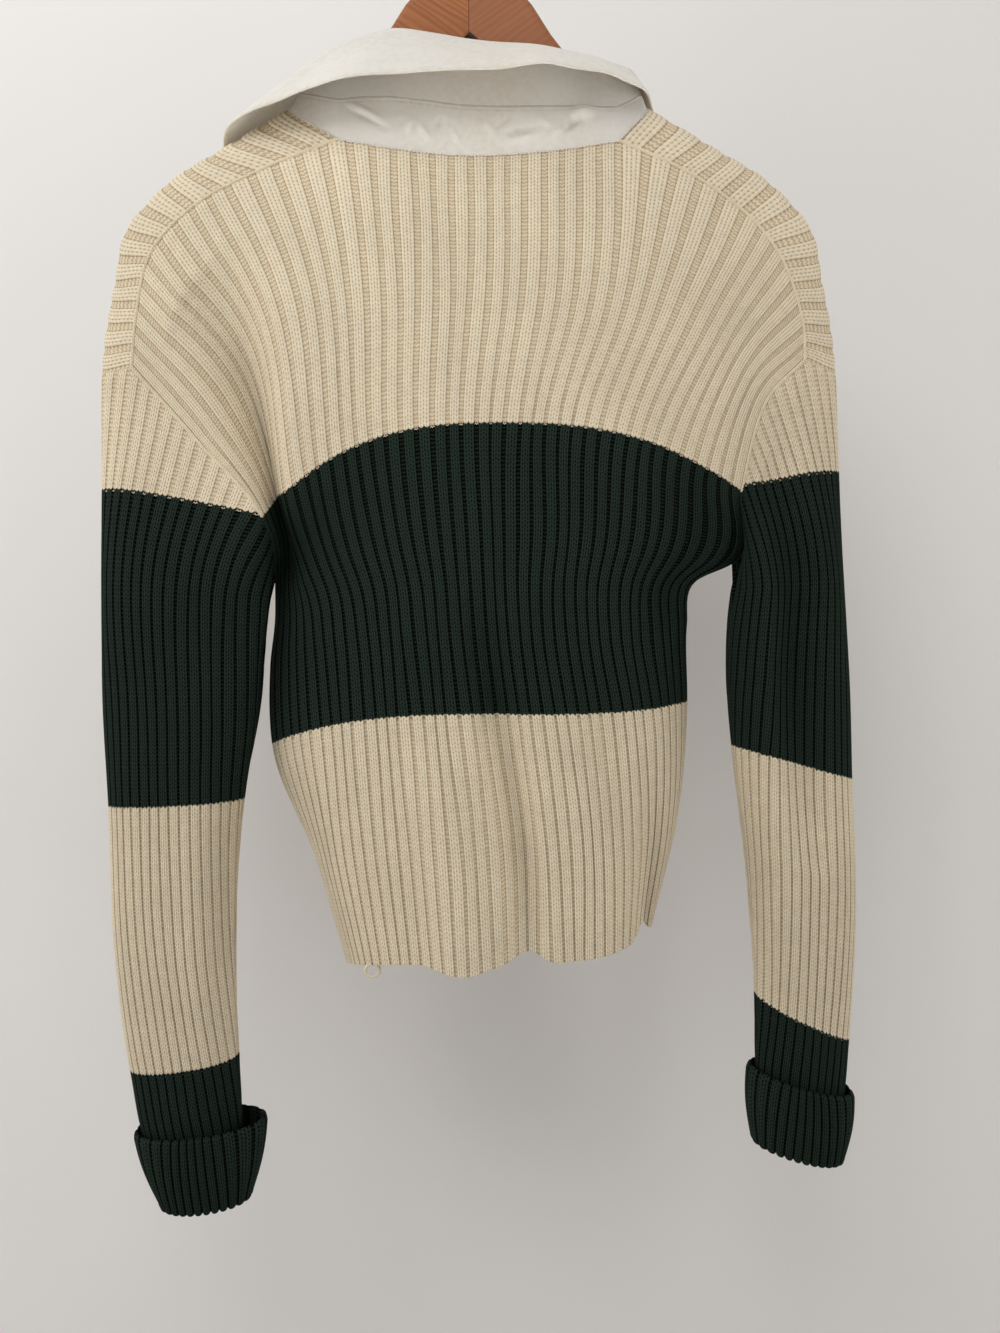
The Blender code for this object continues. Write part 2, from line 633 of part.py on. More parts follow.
def sleeve_grid(loop_line, loop_at, rings, folds, rows):
    """Rows of a sleeve. rows: (ring before, share of the way to the next)."""
    columns = 2 * SLEEVE_RIBS
    knots = [sample(loop_line, loop_line, loop_at)]
    for ring in rings:
        line = ring_line(ring)
        knots.append(sample(line, line, halves_at(line, len(line) // 2, columns)))
    knots = np.array(knots)
    grid = np.empty((len(rows), columns, 3))
    for column in range(columns):
        length = lengths_along(knots[:, column])
        at = [length[ring] + share * (length[ring + 1] - length[ring]) for ring, share in rows]
        grid[:, column] = smooth(length, knots[:, column], at)
    drops = np.array([0] + [ring.drop for ring in rings], float)
    drop_of_row = np.array([drops[r] + share * (drops[r + 1] - drops[r]) for r, share in rows])
    out, _ = fold_shift(folds, np.arange(columns) / 2, drop_of_row)
    back_half = np.arange(columns) <= columns // 2
    grid[:, :, 1] += np.where(back_half, -out, out)
    return grid


def outward(grid):
    """Unit normals of a closed grid of rings, turned away from each ring's middle."""
    normals = surface_normals(grid, round_columns=True)
    away = np.einsum("rci,rci->rc", normals, grid - grid.mean(axis=1, keepdims=True))
    return normals * (1 if away.mean() > 0 else -1)


ARMPIT_DOWN = np.array([0, 0, -0.5])    # keeps the seam's normal outside at the armpit


class Tube:
    """A sleeve's base surface and outward normals, which change where a seam is shared."""

    def __init__(self, grid):
        self.grid = grid
        self.out = outward(grid)
        self.out[:4, 0] = unit(self.out[:4, 1] + self.out[:4, -1])


HEAD_SHARES = (0.0, 0.12, 0.4, 0.7)     # rows from the armhole down to the first ring


def sleeve_rows(rings):
    """The rows of the sleeve's head, then one row on each ring."""
    head = [(0, share) for share in HEAD_SHARES]
    return head + [(ring, 0.0) for ring in range(1, len(rings))] + [(len(rings) - 1, 1.0)]


def join_sleeve(back, front, column, rings, folds):
    """A sleeve whose first row lies on the armhole, with the seam's normals shared."""
    loop = armhole(back, front, column)
    line = np.array([group[0][0].grid[group[0][1], group[0][2]] for group in loop])
    tip = len(loop) - 1 - (FRONT_ROWS.index(OVER_COURSES[2]) - (len(SIDE_ROWS) - 1))
    at = snapped(halves_at(line, tip, 2 * SLEEVE_RIBS), lengths_along(line)[:-1])
    tube = Tube(sleeve_grid(line, at, rings, folds, sleeve_rows(rings)))
    closed_at = np.append(at, lengths_along(line)[-1])
    closed_out = np.concatenate([tube.out[0], tube.out[0, :1]])
    shared = []
    for group, place in zip(loop, lengths_along(line)):
        body = sum(panel.out[row, side] for panel, row, side in group)
        sleeve = [np.interp(place, closed_at, closed_out[:, axis]) for axis in range(3)]
        shared.append(unit(unit(body) + sleeve + ARMPIT_DOWN))
    shared[-1] = shared[0]
    for group, normal in zip(loop, shared):
        for panel, row, side in group:
            panel.out[row, side] = normal
    tube.out[0] = sample(line, np.array(shared), at)
    return tube


def sleeve_object(name, tube, finish):
    columns = np.arange(2 * SLEEVE_RIBS) / 2
    relief = np.repeat(rib_relief(columns, RIB_HEIGHT), len(tube.grid), axis=0)
    relief[0] = relief[-1] = 0
    grid = tube.grid.copy()
    grid[0] = drawn_back(tube.grid, 0, 1, SEAM_GAP / 2)
    grid[-1] = drawn_back(tube.grid, -1, -2, SEAM_GAP / 2)
    at = list(range(0, 2 * SLEEVE_RIBS, 2))
    inner = (grid - KNIT_WALL * tube.out)[:, at]
    inner[0] = drawn_back(inner, 0, 1, INNER_EASE)
    return make_object(name, *shell(grid + relief * tube.out, inner, at, round_columns=True),
                       finish)


# ---------------------------------------------------------------- cuffs
def cuff_object(name, tube, finish):
    """A cuff: sewn inside to the sleeve's end, bent out at its foot, and turned back up."""
    rim = CUFF_RIMS[name]
    columns = 2 * CUFF_RIBS
    end = np.concatenate([tube.grid[-1], tube.grid[-1, :1]])
    end_out = np.concatenate([tube.out[-1], tube.out[-1, :1]])
    length = lengths_along(end)
    at = np.linspace(0, length[-1], columns, endpoint=False)
    base = sample(end, end, at)
    out = sample(end, end_out, at)
    flat = unit(out * (1, 1, 0))
    down = np.array([0, 0, -1.0])
    bend = 0.5 * CUFF_LAYER_GAP + KNIT_WALL
    middle = base + flat * 0.5 * CUFF_LAYER_GAP + down * CUFF_INSIDE
    rows = [(base - KNIT_WALL * out + down * SEAM_GAP / 2, -out)]
    for turn in (180, 240, 300, 360):
        facing = cos(radians(turn)) * flat - sin(radians(turn)) * down
        rows.append((middle + bend * facing, facing))
    angle = np.arctan2(flat[:, 1], flat[:, 0])
    lean = -np.sign(rim.x) * np.cos(angle)
    top = np.stack([
        rim.x + rim.half_x * np.cos(angle),
        rim.y + rim.half_y * np.sin(angle),
        rim.z + rim.tilt * lean,
    ], axis=1)
    foot = rows[-1][0]
    for share in (0.5, 1.0):
        place = foot + (top - foot) * share
        swell = CUFF_BULGE * sin(pi * share)
        rows.append((place + swell * flat, flat))
    grid = np.array([row[0] for row in rows])
    normals = np.array([row[1] for row in rows])
    relief = np.repeat(rib_relief(np.arange(columns) / 2, CUFF_RIB_HEIGHT), len(rows), axis=0)
    relief[0] = 0
    at = list(range(0, columns, 2))
    inner = (grid - KNIT_WALL * normals)[:, at]
    return make_object(name, *shell(grid + relief * normals, inner, at, round_columns=True),
                       finish)


# ---------------------------------------------------------------- collar
def neck_edge(back, front):
    """The places of the knit's edge round the neck, from slot to slot by way of the back."""
    low, high = (2 * rib for rib in NECK_RIBS)
    left, right = (2 * rib for rib in SLOT_RIBS)
    level = FRONT_ROWS.index(OVER_COURSES[0])
    top = len(FRONT_ROWS) - 1
    edge = [[(front, level, column)] for column in range(left, low, -1)]
    edge += [[(front, row, low)] for row in range(level, top)]
    edge += [[(back, -1, low), (front, -1, low)]]
    edge += [[(back, -1, column)] for column in range(low + 1, high)]
    edge += [[(back, -1, high), (front, -1, high)]]
    edge += [[(front, row, high)] for row in range(top - 1, level - 1, -1)]
    edge += [[(front, level, column)] for column in range(high - 1, right - 1, -1)]
    return edge


def station_curve(field, at):
    """The collar's roll or edge at the given shares of the way round the neck."""
    places = [station.along for station in COLLAR_STATIONS]
    points = [
        [getattr(station, f"{field}_{axis}") for axis in "xyz"] for station in COLLAR_STATIONS
    ]
    return smooth(places, points, at)


def collar_grids(back, front):
    """Middle surfaces of the stand and the leaf, and the knit edge's shared normals."""
    edge = neck_edge(back, front)
    line = np.array([group[0][0].grid[group[0][1], group[0][2]] for group in edge])
    length = lengths_along(line)
    turns = unit(np.diff(line, axis=0))
    bends = np.einsum("ni,ni->n", turns[1:], turns[:-1]) < cos(radians(CORNER))
    corners = np.append(length[1:-1][bends], length[-1])
    at = snapped(np.linspace(0, length[-1], COLLAR_COLUMNS + 1), corners) / length[-1]
    foot = sample(line, line, at * length[-1])
    roll = station_curve("roll", at)
    free = station_curve("edge", at)
    top = foot + (roll - foot) * STAND_SHARE
    stand = np.array([foot + (top - foot) * share for share in STAND_ROWS])
    inward, outer = unit(top - roll), unit(free - roll)
    rise = np.linalg.norm(roll - top, axis=1, keepdims=True)
    fall = np.linalg.norm(free - roll, axis=1, keepdims=True)
    knots = [0.0, 0.40, 0.5, 0.60, 1.0]
    bow = unit(unit(roll - foot) - outer)
    lines = [
        top,
        roll + inward * 0.22 * rise,
        roll,
        roll + outer * 0.20 * fall + bow * 0.03 * fall,
        free,
    ]
    leaf = smooth(knots, np.array(lines), LEAF_ROWS)
    return edge, line, at * length[-1], stand, leaf


def collar_objects(back, front, finish):
    edge, line, at, stand, leaf = collar_grids(back, front)
    stand_out = surface_normals(stand)
    leaf_out = surface_normals(leaf)
    shared = []
    for group, place in zip(edge, lengths_along(line)):
        knit = unit(sum(panel.out[row, column] for panel, row, column in group))
        woven = [np.interp(place, at, stand_out[0, :, axis]) for axis in range(3)]
        shared.append(unit(knit + woven))
    for group, normal in zip(edge, shared):
        for panel, row, column in group:
            panel.out[row, column] = normal
    stand_out[0] = sample(line, np.array(shared), at)
    stand_out[-1] = leaf_out[0] = unit(stand_out[-1] + leaf_out[0])
    ease = np.where(stand[0][:, 1:2] > 0, STAND_EASE, SEAM_GAP / 2)
    stand[0] = drawn_back(stand, 0, 1, SEAM_GAP / 2 + ease)
    stand[-1] = drawn_back(stand, -1, -2, SEAM_GAP / 2)
    leaf[0] = drawn_back(leaf, 0, 1, SEAM_GAP / 2)
    columns = list(range(COLLAR_COLUMNS + 1))
    pieces = (("collar_stand", stand, stand_out), ("collar_leaf", leaf, leaf_out))
    for name, grid, normals in pieces:
        half = 0.5 * WOVEN_WALL * normals
        make_object(name, *shell(grid + half, grid - half, columns), finish, 60)


# ---------------------------------------------------------------- placket and buttons
def slot_edge(front, band):
    """Points and normals down one edge of the slot, from below the neck to the band's end."""
    column = 2 * SLOT_RIBS[0 if band.side < 0 else 1]
    rows = [row for row, course in enumerate(FRONT_ROWS)
            if SLOT_FOOT <= course <= OVER_COURSES[0]]
    line = front.grid[rows[::-1], column]
    out = front.out[rows[::-1], column]
    line[0] += 1.5 * unit(line[1] - line[0])
    line[-1] += band.reach * unit(line[-1] - line[-2])
    return line, out


def band_grid(front, band):
    """The middle surface of a band: rows down the slot, columns from sewn to free edge."""
    line, out = slot_edge(front, band)
    at = np.linspace(0, lengths_along(line)[-1], 7)
    edge, normal = sample(line, line, at), unit(sample(line, out, at))
    inward = np.array([-band.side, 0, 0]) + band.side * normal * normal[:, :1]
    inward = unit(inward)
    sewn = edge - inward * band.sewn + normal * band.lift_sewn
    free = edge + inward * band.free + normal * band.lift_free
    return np.stack([sewn, (sewn + free) / 2, free], axis=1), normal[:, None]


def placket_objects(front, finish, button_finish):
    for band in BANDS:
        grid, normal = band_grid(front, band)
        half = 0.5 * BAND_WALL * normal
        make_object(band.name, *shell(grid + half, grid - half, [0, 1, 2]), finish)
    rows = len(grid)
    across = grid[:, 0] + (grid[:, 2] - grid[:, 0]) * BUTTON_ACROSS
    for number, place in enumerate(BUTTON_PLACES, start=1):
        row = place * (rows - 1)
        middle = np.array([np.interp(row, range(rows), across[:, axis]) for axis in range(3)])
        first = int(row)
        facing = unit(np.cross(across[first] - across[first + 1], grid[first, 0] - grid[first, 2]))
        facing *= np.sign(facing[1])
        lift = BAND_WALL / 2 + SEAM_GAP + BUTTON_THICK / 2
        button(f"button_{number}", middle + facing * lift, facing, button_finish)


def button(name, middle, facing, finish):
    """A round button with a rounded rim and a shallow dish."""
    side = unit(np.cross(facing, (0, 0, 1.0)))
    up = np.cross(side, facing)
    half = BUTTON_THICK / 2
    profile = [
        (BUTTON_RADIUS - 0.8, -half), (BUTTON_RADIUS, 0), (BUTTON_RADIUS - 0.8, half),
        (BUTTON_RADIUS - 1.6, half), (BUTTON_RADIUS - 2.2, half - 0.6),
    ]
    turns = np.linspace(0, 2 * pi, BUTTON_SIDES, endpoint=False)
    rings = [
        middle + facing * height + radius * (np.cos(turns)[:, None] * side
                                             + np.sin(turns)[:, None] * up)
        for radius, height in profile
    ]
    count = len(turns)
    faces = [
        (ring * count + k, ring * count + (k + 1) % count,
         (ring + 1) * count + (k + 1) % count, (ring + 1) * count + k)
        for ring in range(len(rings) - 1) for k in range(count)
    ]
    faces.append(tuple(reversed(range(count))))
    faces.append(tuple(range((len(rings) - 1) * count, len(rings) * count)))
    return make_object(name, np.concatenate(rings), faces, finish)


# ---------------------------------------------------------------- hanger
def hanger_outline(side):
    """The outline of one half in its plane, from the apex over the arm and back."""
    ridge = [
        (p.x, p.z - ARM_DROP) for p in reversed(SHOULDER_RIDGE)
        if p.rib > 10
    ]
    outline = HANGER_NECK + ridge + ARM_TIP + HANGER_FOOT
    return [(side * max(x, MITRE_GAP / 2), z) for x, z in outline]


def hanger_half(name, side, finish):
    outline = hanger_outline(side)
    shape = bmesh.new()
    corners = [shape.verts.new((x * MM, -HANGER_THICK / 2 * MM, z * MM)) for x, z in outline]
    face = shape.faces.new(corners)
    grown = bmesh.ops.extrude_face_region(shape, geom=[face])
    moved = [item for item in grown["geom"] if isinstance(item, bmesh.types.BMVert)]
    bmesh.ops.translate(shape, verts=moved, vec=(0, HANGER_THICK * MM, 0))
    bmesh.ops.recalc_face_normals(shape, faces=shape.faces[:])
    at_mitre = [
        edge for edge in shape.edges
        if all(abs(vert.co.x) < MITRE_GAP * MM for vert in edge.verts)
    ]
    long_edges = [
        edge for edge in shape.edges
        if abs(edge.verts[0].co.y - edge.verts[1].co.y) < 1e-6 and edge not in at_mitre
    ]
    bmesh.ops.bevel(shape, geom=long_edges, offset=HANGER_BEVEL * MM, segments=3,
                    profile=0.5, affect="EDGES", clamp_overlap=True)
    mesh = bpy.data.meshes.new(name)
    shape.to_mesh(mesh)
    shape.free()
    mesh.shade_smooth()
    mesh.set_sharp_from_angle(angle=radians(40))
    half = bpy.data.objects.new(name, mesh)
    bpy.context.scene.collection.objects.link(half)
    mesh.materials.append(finish)
    return half


def hook_line():
    """The middle of the hook's wire, from its foot in the wood to its free end."""
    radius = HOOK_RADIUS + HOOK_WIRE / 2
    turns = np.radians(np.linspace(HOOK_START, HOOK_END, 22))
    bend = [(radius * cos(t), 0, -HOOK_RADIUS + radius * sin(t)) for t in turns]
    start = np.array(bend[0])
    stem = [(0, 0, HOOK_FOOT), (0, 0, -66), (0.6, 0, -58), tuple(start * (0.45, 1, 1) + (0, 0, -9))]
    knots = np.array(stem + bend[:4], float)
    rounded = smooth(lengths_along(knots), knots, np.linspace(0, lengths_along(knots)[4], 8))
    return [*map(tuple, rounded), *bend[1:]]


def hook(finish):
    curve = bpy.data.curves.new("hook", "CURVE")
    curve.dimensions = "3D"
    curve.bevel_depth = HOOK_WIRE / 2 * MM
    curve.bevel_resolution = 2
    curve.use_fill_caps = True
    line = hook_line()
    spline = curve.splines.new("POLY")
    spline.points.add(len(line) - 1)
    for point, place in zip(spline.points, line):
        point.co = (*(np.array(place) * MM), 1)
    piece = bpy.data.objects.new("hook", curve)
    bpy.context.scene.collection.objects.link(piece)
    curve.materials.append(finish)
    return piece


def bore(halves):
    """Cuts the hole that the hook's stem sits in, half in each arm."""
    turns = np.linspace(0, 2 * pi, 20, endpoint=False)
    rings = [[(HOOK_BORE / 2 * cos(t), HOOK_BORE / 2 * sin(t), z) for t in turns]
             for z in (HOOK_FOOT - SEAM_GAP, -40.0)]
    points = np.array(rings[0] + rings[1])
    count = len(turns)
    faces = [(k, (k + 1) % count, count + (k + 1) % count, count + k) for k in range(count)]
    faces += [tuple(reversed(range(count))), tuple(range(count, 2 * count))]
    cutter = make_object("stem_bore", points, faces, halves[0].data.materials[0])
    cutter.hide_render = True
    cutter.display_type = "WIRE"
    for half in halves:
        cut = half.modifiers.new("stem bore", "BOOLEAN")
        cut.operation = "DIFFERENCE"
        cut.object = cutter
    return cutter


# ---------------------------------------------------------------- the whole garment
def clear_scene():
    for piece in list(bpy.data.objects):
        bpy.data.objects.remove(piece, do_unlink=True)


def main():
    clear_scene()
    cream = finish_of("cream_rib_knit", (0.62, 0.50, 0.35), 0.9)
    green = finish_of("green_rib_knit", (0.012, 0.025, 0.018), 0.9)
    white = finish_of("white_twill", (0.74, 0.70, 0.63), 0.8)
    pearl = finish_of("pearl_plastic", (0.80, 0.76, 0.68), 0.35)
    beech = finish_of("varnished_beech", (0.40, 0.18, 0.08), 0.35)
    steel = finish_of("hook_steel", (0.55, 0.55, 0.55), 0.25, 1.0)
    back, front = body_panels()
    sleeves = {
        "sleeve_left": join_sleeve(back, front, 0, SLEEVE_LEFT_RINGS,
                                   SLEEVE_FOLDS["sleeve_left"]),
        "sleeve_right": join_sleeve(back, front, -1, SLEEVE_RIGHT_RINGS,
                                    SLEEVE_FOLDS["sleeve_right"]),
    }
    collar_objects(back, front, white)
    panel_object("back", back, cream)
    panel_object("front", front, cream, front_cells())
    for name, tube in sleeves.items():
        sleeve_object(name, tube, cream)
        cuff_object(name.replace("sleeve", "cuff"), tube, green)
    placket_objects(front, white, pearl)
    halves = [hanger_half("hanger_left", -1, beech), hanger_half("hanger_right", 1, beech)]
    bore(halves)
    hook(steel)


if __name__ == "__main__":
    main()
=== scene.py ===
# %% [markdown]
# # A rib-knit rugby shirt on a wooden hanger
#
# This lesson dresses a frame of plain solids as a real garment: a cream and green rib-knit
# shirt with a woven collar, seen from its back on a wooden hanger. Each soft solid is
# replaced by a thin shell with the same form and a finer surface. The ribs are real relief,
# and the stitches on them are drawn by a shader that knows where each rib and row lies.

# %% Load the frame
from collections import namedtuple
from math import cos, pi, radians, sin

import bmesh
import bpy
import numpy as np
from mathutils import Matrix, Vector


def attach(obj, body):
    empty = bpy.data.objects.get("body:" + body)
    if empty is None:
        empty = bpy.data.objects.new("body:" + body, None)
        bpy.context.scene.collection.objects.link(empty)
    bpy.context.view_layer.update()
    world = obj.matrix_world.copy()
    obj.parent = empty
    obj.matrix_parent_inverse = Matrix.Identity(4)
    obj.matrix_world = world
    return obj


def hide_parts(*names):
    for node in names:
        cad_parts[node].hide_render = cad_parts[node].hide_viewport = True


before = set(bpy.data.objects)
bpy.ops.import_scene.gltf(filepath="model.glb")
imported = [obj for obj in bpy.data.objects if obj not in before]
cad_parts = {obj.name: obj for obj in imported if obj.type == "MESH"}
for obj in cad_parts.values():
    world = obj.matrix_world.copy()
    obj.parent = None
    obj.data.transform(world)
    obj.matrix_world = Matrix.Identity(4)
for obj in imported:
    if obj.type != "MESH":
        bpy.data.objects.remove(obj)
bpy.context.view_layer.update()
MM = 0.001


def add_object(name, data):
    """A new object in the scene."""
    thing = bpy.data.objects.new(name, data)
    bpy.context.scene.collection.objects.link(thing)
    return thing


print("frame nodes:", ", ".join(sorted(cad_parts)))

# %% [markdown]
# ## The camera and the studio
#
# The garment hangs from a rail and is looked at level, from close by, so its shoulders
# spread and its hem recedes a little. A pale sweep stands close behind it and takes its
# soft shadow. Seen from behind, the sweep is clear, so that views from there show the
# garment. The key light is a large soft panel above and in front, so brightness falls off
# towards the cuffs. A warmer panel on each side lifts the sleeves, and a faint narrow one
# from below lifts the middle of the back.

# %% Camera
EYE = (0.0204, -0.658, -0.530)
camera_data = bpy.data.cameras.new("camera")
camera_data.sensor_fit = "HORIZONTAL"
camera_data.sensor_width = 36
camera_data.lens = 36
camera = add_object("camera", camera_data)
camera.location = EYE
camera.rotation_euler = (radians(90), 0, 0)
bpy.context.scene.camera = camera
bpy.context.scene.view_settings.view_transform = "Standard"
print("the eye is", round(-EYE[1], 3), "m from the garment")

# %% Lights
Panel_light = namedtuple("Panel_light", "name place aim size power colour spread")
LIGHTS = [
    Panel_light("key", (-0.35, -0.82, 0.58), (0.0, 0.05, -0.15), 1.0, 10.6, (1.0, 1.0, 0.985), 180),
    Panel_light("left", (-1.25, -0.50, -0.45), (-0.1, 0.0, -0.55), 1.0, 7.8, (1.0, 0.95, 0.915), 180),
    Panel_light("right", (1.25, -0.50, -0.42), (0.1, 0.0, -0.5), 1.0, 7.0, (1.0, 0.95, 0.915), 180),
    Panel_light("bounce", (0.02, -0.30, -0.95), (0.0, -0.05, -0.15), 0.30, 0.10, (1.0, 0.98, 0.96), 24),
    Panel_light("far side", (0.3, 1.5, 0.9), (0.0, 0.0, -0.4), 1.2, 22.0, (1.0, 0.99, 0.97), 180),
]


def add_light(panel):
    data = bpy.data.lights.new(panel.name, "AREA")
    data.shape = "SQUARE"
    data.size = panel.size
    data.energy = panel.power
    data.color = panel.colour
    data.spread = radians(panel.spread)
    light = add_object(panel.name, data)
    light.location = panel.place
    towards = Vector(panel.aim) - Vector(panel.place)
    light.rotation_euler = towards.to_track_quat("-Z", "Y").to_euler()
    light.visible_camera = False


for panel in LIGHTS:
    add_light(panel)
world = bpy.data.worlds.new("room")
bpy.context.scene.world = world
world.use_nodes = True
background = world.node_tree.nodes["Background"].inputs
background["Color"].default_value = (1.0, 0.97, 0.945, 1)
background["Strength"].default_value = 0.21
print("lights:", len(LIGHTS))

# %% Pale sweep
FLOOR_Z, WALL_Y, SWEEP_RADIUS, SWEEP_HALF = -1.45, 0.19, 0.25, 2.2
FLOOR_FRONT, WALL_TOP = -2.6, 1.4


def new_material(name, roughness, specular, colour=None, metallic=0.0):
    """A material with these values on its shader, and the shader."""
    material = bpy.data.materials.new(name)
    material.use_nodes = True
    shader = material.node_tree.nodes["Principled BSDF"]
    shader.inputs["Roughness"].default_value = roughness
    shader.inputs["Specular IOR Level"].default_value = specular
    shader.inputs["Metallic"].default_value = metallic
    if colour:
        shader.inputs["Base Color"].default_value = (*colour, 1)
    return material, shader


def paper_material():
    """Matt pale paper that is clear from behind."""
    paper, shader = new_material("pale paper", 0.95, 0.1, (0.80, 0.795, 0.785))
    nodes, links = paper.node_tree.nodes, paper.node_tree.links
    clear = nodes.new("ShaderNodeBsdfTransparent")
    choice = nodes.new("ShaderNodeMixShader")
    links.new(nodes.new("ShaderNodeNewGeometry").outputs["Backfacing"], choice.inputs[0])
    links.new(shader.outputs[0], choice.inputs[1])
    links.new(clear.outputs[0], choice.inputs[2])
    links.new(choice.outputs[0], nodes["Material Output"].inputs["Surface"])
    return paper


def sweep():
    """A floor that turns up into a wall."""
    turns = np.linspace(0, pi / 2, 13)
    line = [(FLOOR_FRONT, FLOOR_Z)]
    line += [(WALL_Y - SWEEP_RADIUS + SWEEP_RADIUS * sin(t),
              FLOOR_Z + SWEEP_RADIUS - SWEEP_RADIUS * cos(t)) for t in turns]
    line += [(WALL_Y, WALL_TOP)]
    points = [(side * SWEEP_HALF, y, z) for y, z in line for side in (-1, 1)]
    faces = [(2 * k, 2 * k + 1, 2 * k + 3, 2 * k + 2) for k in range(len(line) - 1)]
    mesh = bpy.data.meshes.new("sweep")
    mesh.from_pydata(points, [], faces)
    mesh.shade_smooth()
    mesh.materials.append(paper_material())
    paper = add_object("sweep", mesh)


sweep()

# %% [markdown]
# ## Curves, grids and shells
#
# Cloth is easiest to hold as a grid of points: one direction runs along the stitches' rows
# (courses), the other along their columns (wales). A short table gives the grid's main
# lines, and a smooth curve through them gives all lines between. The same functions shaped
# the solids, so each shell lies on its solid's form.

# %% Curve helpers
def smooth(knots, values, at):
    """Values of the smooth curve through (knots, values), at the given places."""
    knots = np.asarray(knots, float)
    values = np.asarray(values, float)
    at = np.atleast_1d(np.asarray(at, float))
    steps = np.diff(knots)
    shape = (-1,) + (1,) * (values.ndim - 1)
    slopes = np.diff(values, axis=0) / steps.reshape(shape)
    tangents = np.empty_like(values)
    tangents[0], tangents[-1] = slopes[0], slopes[-1]
    near, far = steps[:-1].reshape(shape), steps[1:].reshape(shape)
    tangents[1:-1] = (slopes[:-1] * far + slopes[1:] * near) / (near + far)
    index = np.clip(np.searchsorted(knots, at, side="right") - 1, 0, len(knots) - 2)
    step = steps[index]
    t = ((at - knots[index]) / step).reshape(shape)
    step = step.reshape(shape)
    return (
        values[index] * (1 + 2 * t) * (1 - t) ** 2
        + tangents[index] * step * t * (1 - t) ** 2
        + values[index + 1] * t * t * (3 - 2 * t)
        + tangents[index + 1] * step * t * t * (t - 1)
    )


def hump(distance):
    """1 at no distance, falling smoothly to 0 at distance 1 and beyond."""
    return 0.5 + 0.5 * np.cos(pi * np.clip(np.abs(distance), 0, 1))


def ease(share):
    """0 to 1 with soft ends."""
    share = np.clip(share, 0, 1)
    return share * share * (3 - 2 * share)


def unit(vectors):
    return vectors / np.maximum(np.linalg.norm(vectors, axis=-1, keepdims=True), 1e-9)


def lengths_along(line):
    return np.concatenate([[0], np.cumsum(np.linalg.norm(np.diff(line, axis=0), axis=1))])


def read_line(line, values, at):
    """Values given at a line's points, read at lengths along the line."""
    length = lengths_along(line)
    return np.stack([np.interp(at, length, column) for column in values.T], axis=1)


def line_at(line, out, at):
    """Points and unit normals of a line, at lengths along it."""
    return read_line(line, line, at), unit(read_line(line, out, at))


def surface_normals(grid, closed=False):
    """Unit normals of a grid whose rows go up and whose columns go round."""
    up = np.gradient(grid, axis=0)
    along = np.gradient(grid, axis=1)
    if closed:
        step = grid[:, 1] - grid[:, -2]
        along[:, 0] = along[:, -1] = step / 2
    return unit(np.cross(along, up))


# %% Shell helpers
def shell(outer, inner, inner_at, cells=None):
    """Points and faces of a closed wall between two grids with the same rows.

    inner_at gives, for each inner column, the outer column that it lies under. cells says
    which cells between the inner columns hold cloth.
    """
    rows, columns = outer.shape[:2]
    spans = inner.shape[1] - 1
    if cells is None:
        cells = np.ones((rows - 1, spans), bool)
    points = np.concatenate([outer.reshape(-1, 3), inner.reshape(-1, 3)])
    offset = rows * columns

    def out(row, column):
        return row * columns + column

    def inn(row, span):
        return offset + row * (spans + 1) + span

    def has(row, span):
        return 0 <= row < rows - 1 and 0 <= span < spans and cells[row, span]

    faces = []
    for row, span in zip(*np.nonzero(cells)):
        first, last = inner_at[span], inner_at[span + 1]
        for column in range(first, last):
            faces.append((out(row, column), out(row, column + 1),
                          out(row + 1, column + 1), out(row + 1, column)))
        faces.append((inn(row, span), inn(row + 1, span),
                      inn(row + 1, span + 1), inn(row, span + 1)))
        middle = (first + last) // 2
        for edge, below in ((row, True), (row + 1, False)):
            if has(row - 1 if below else row + 1, span):
                continue
            rim = [(inn(edge, span), out(edge, c), out(edge, c + 1)) for c in range(first, middle)]
            rim.append((inn(edge, span), out(edge, middle), inn(edge, span + 1)))
            rim += [(inn(edge, span + 1), out(edge, c), out(edge, c + 1))
                    for c in range(middle, last)]
            faces += [face[::-1] if below else face for face in rim]
        if not has(row, span - 1):
            faces.append((out(row, first), out(row + 1, first), inn(row + 1, span), inn(row, span)))
        if not has(row, span + 1):
            faces.append((out(row, last), inn(row, span + 1), inn(row + 1, span + 1),
                          out(row + 1, last)))
    return points, faces


def face_outwards(mesh, weld=0.0):
    """Turns a mesh's faces outwards. Points nearer than weld, in millimetres, are joined."""
    shape = bmesh.new()
    shape.from_mesh(mesh)
    if weld:
        bmesh.ops.remove_doubles(shape, verts=shape.verts[:], dist=weld * MM)
    bmesh.ops.recalc_face_normals(shape, faces=shape.faces[:])
    shape.to_mesh(mesh)
    shape.free()


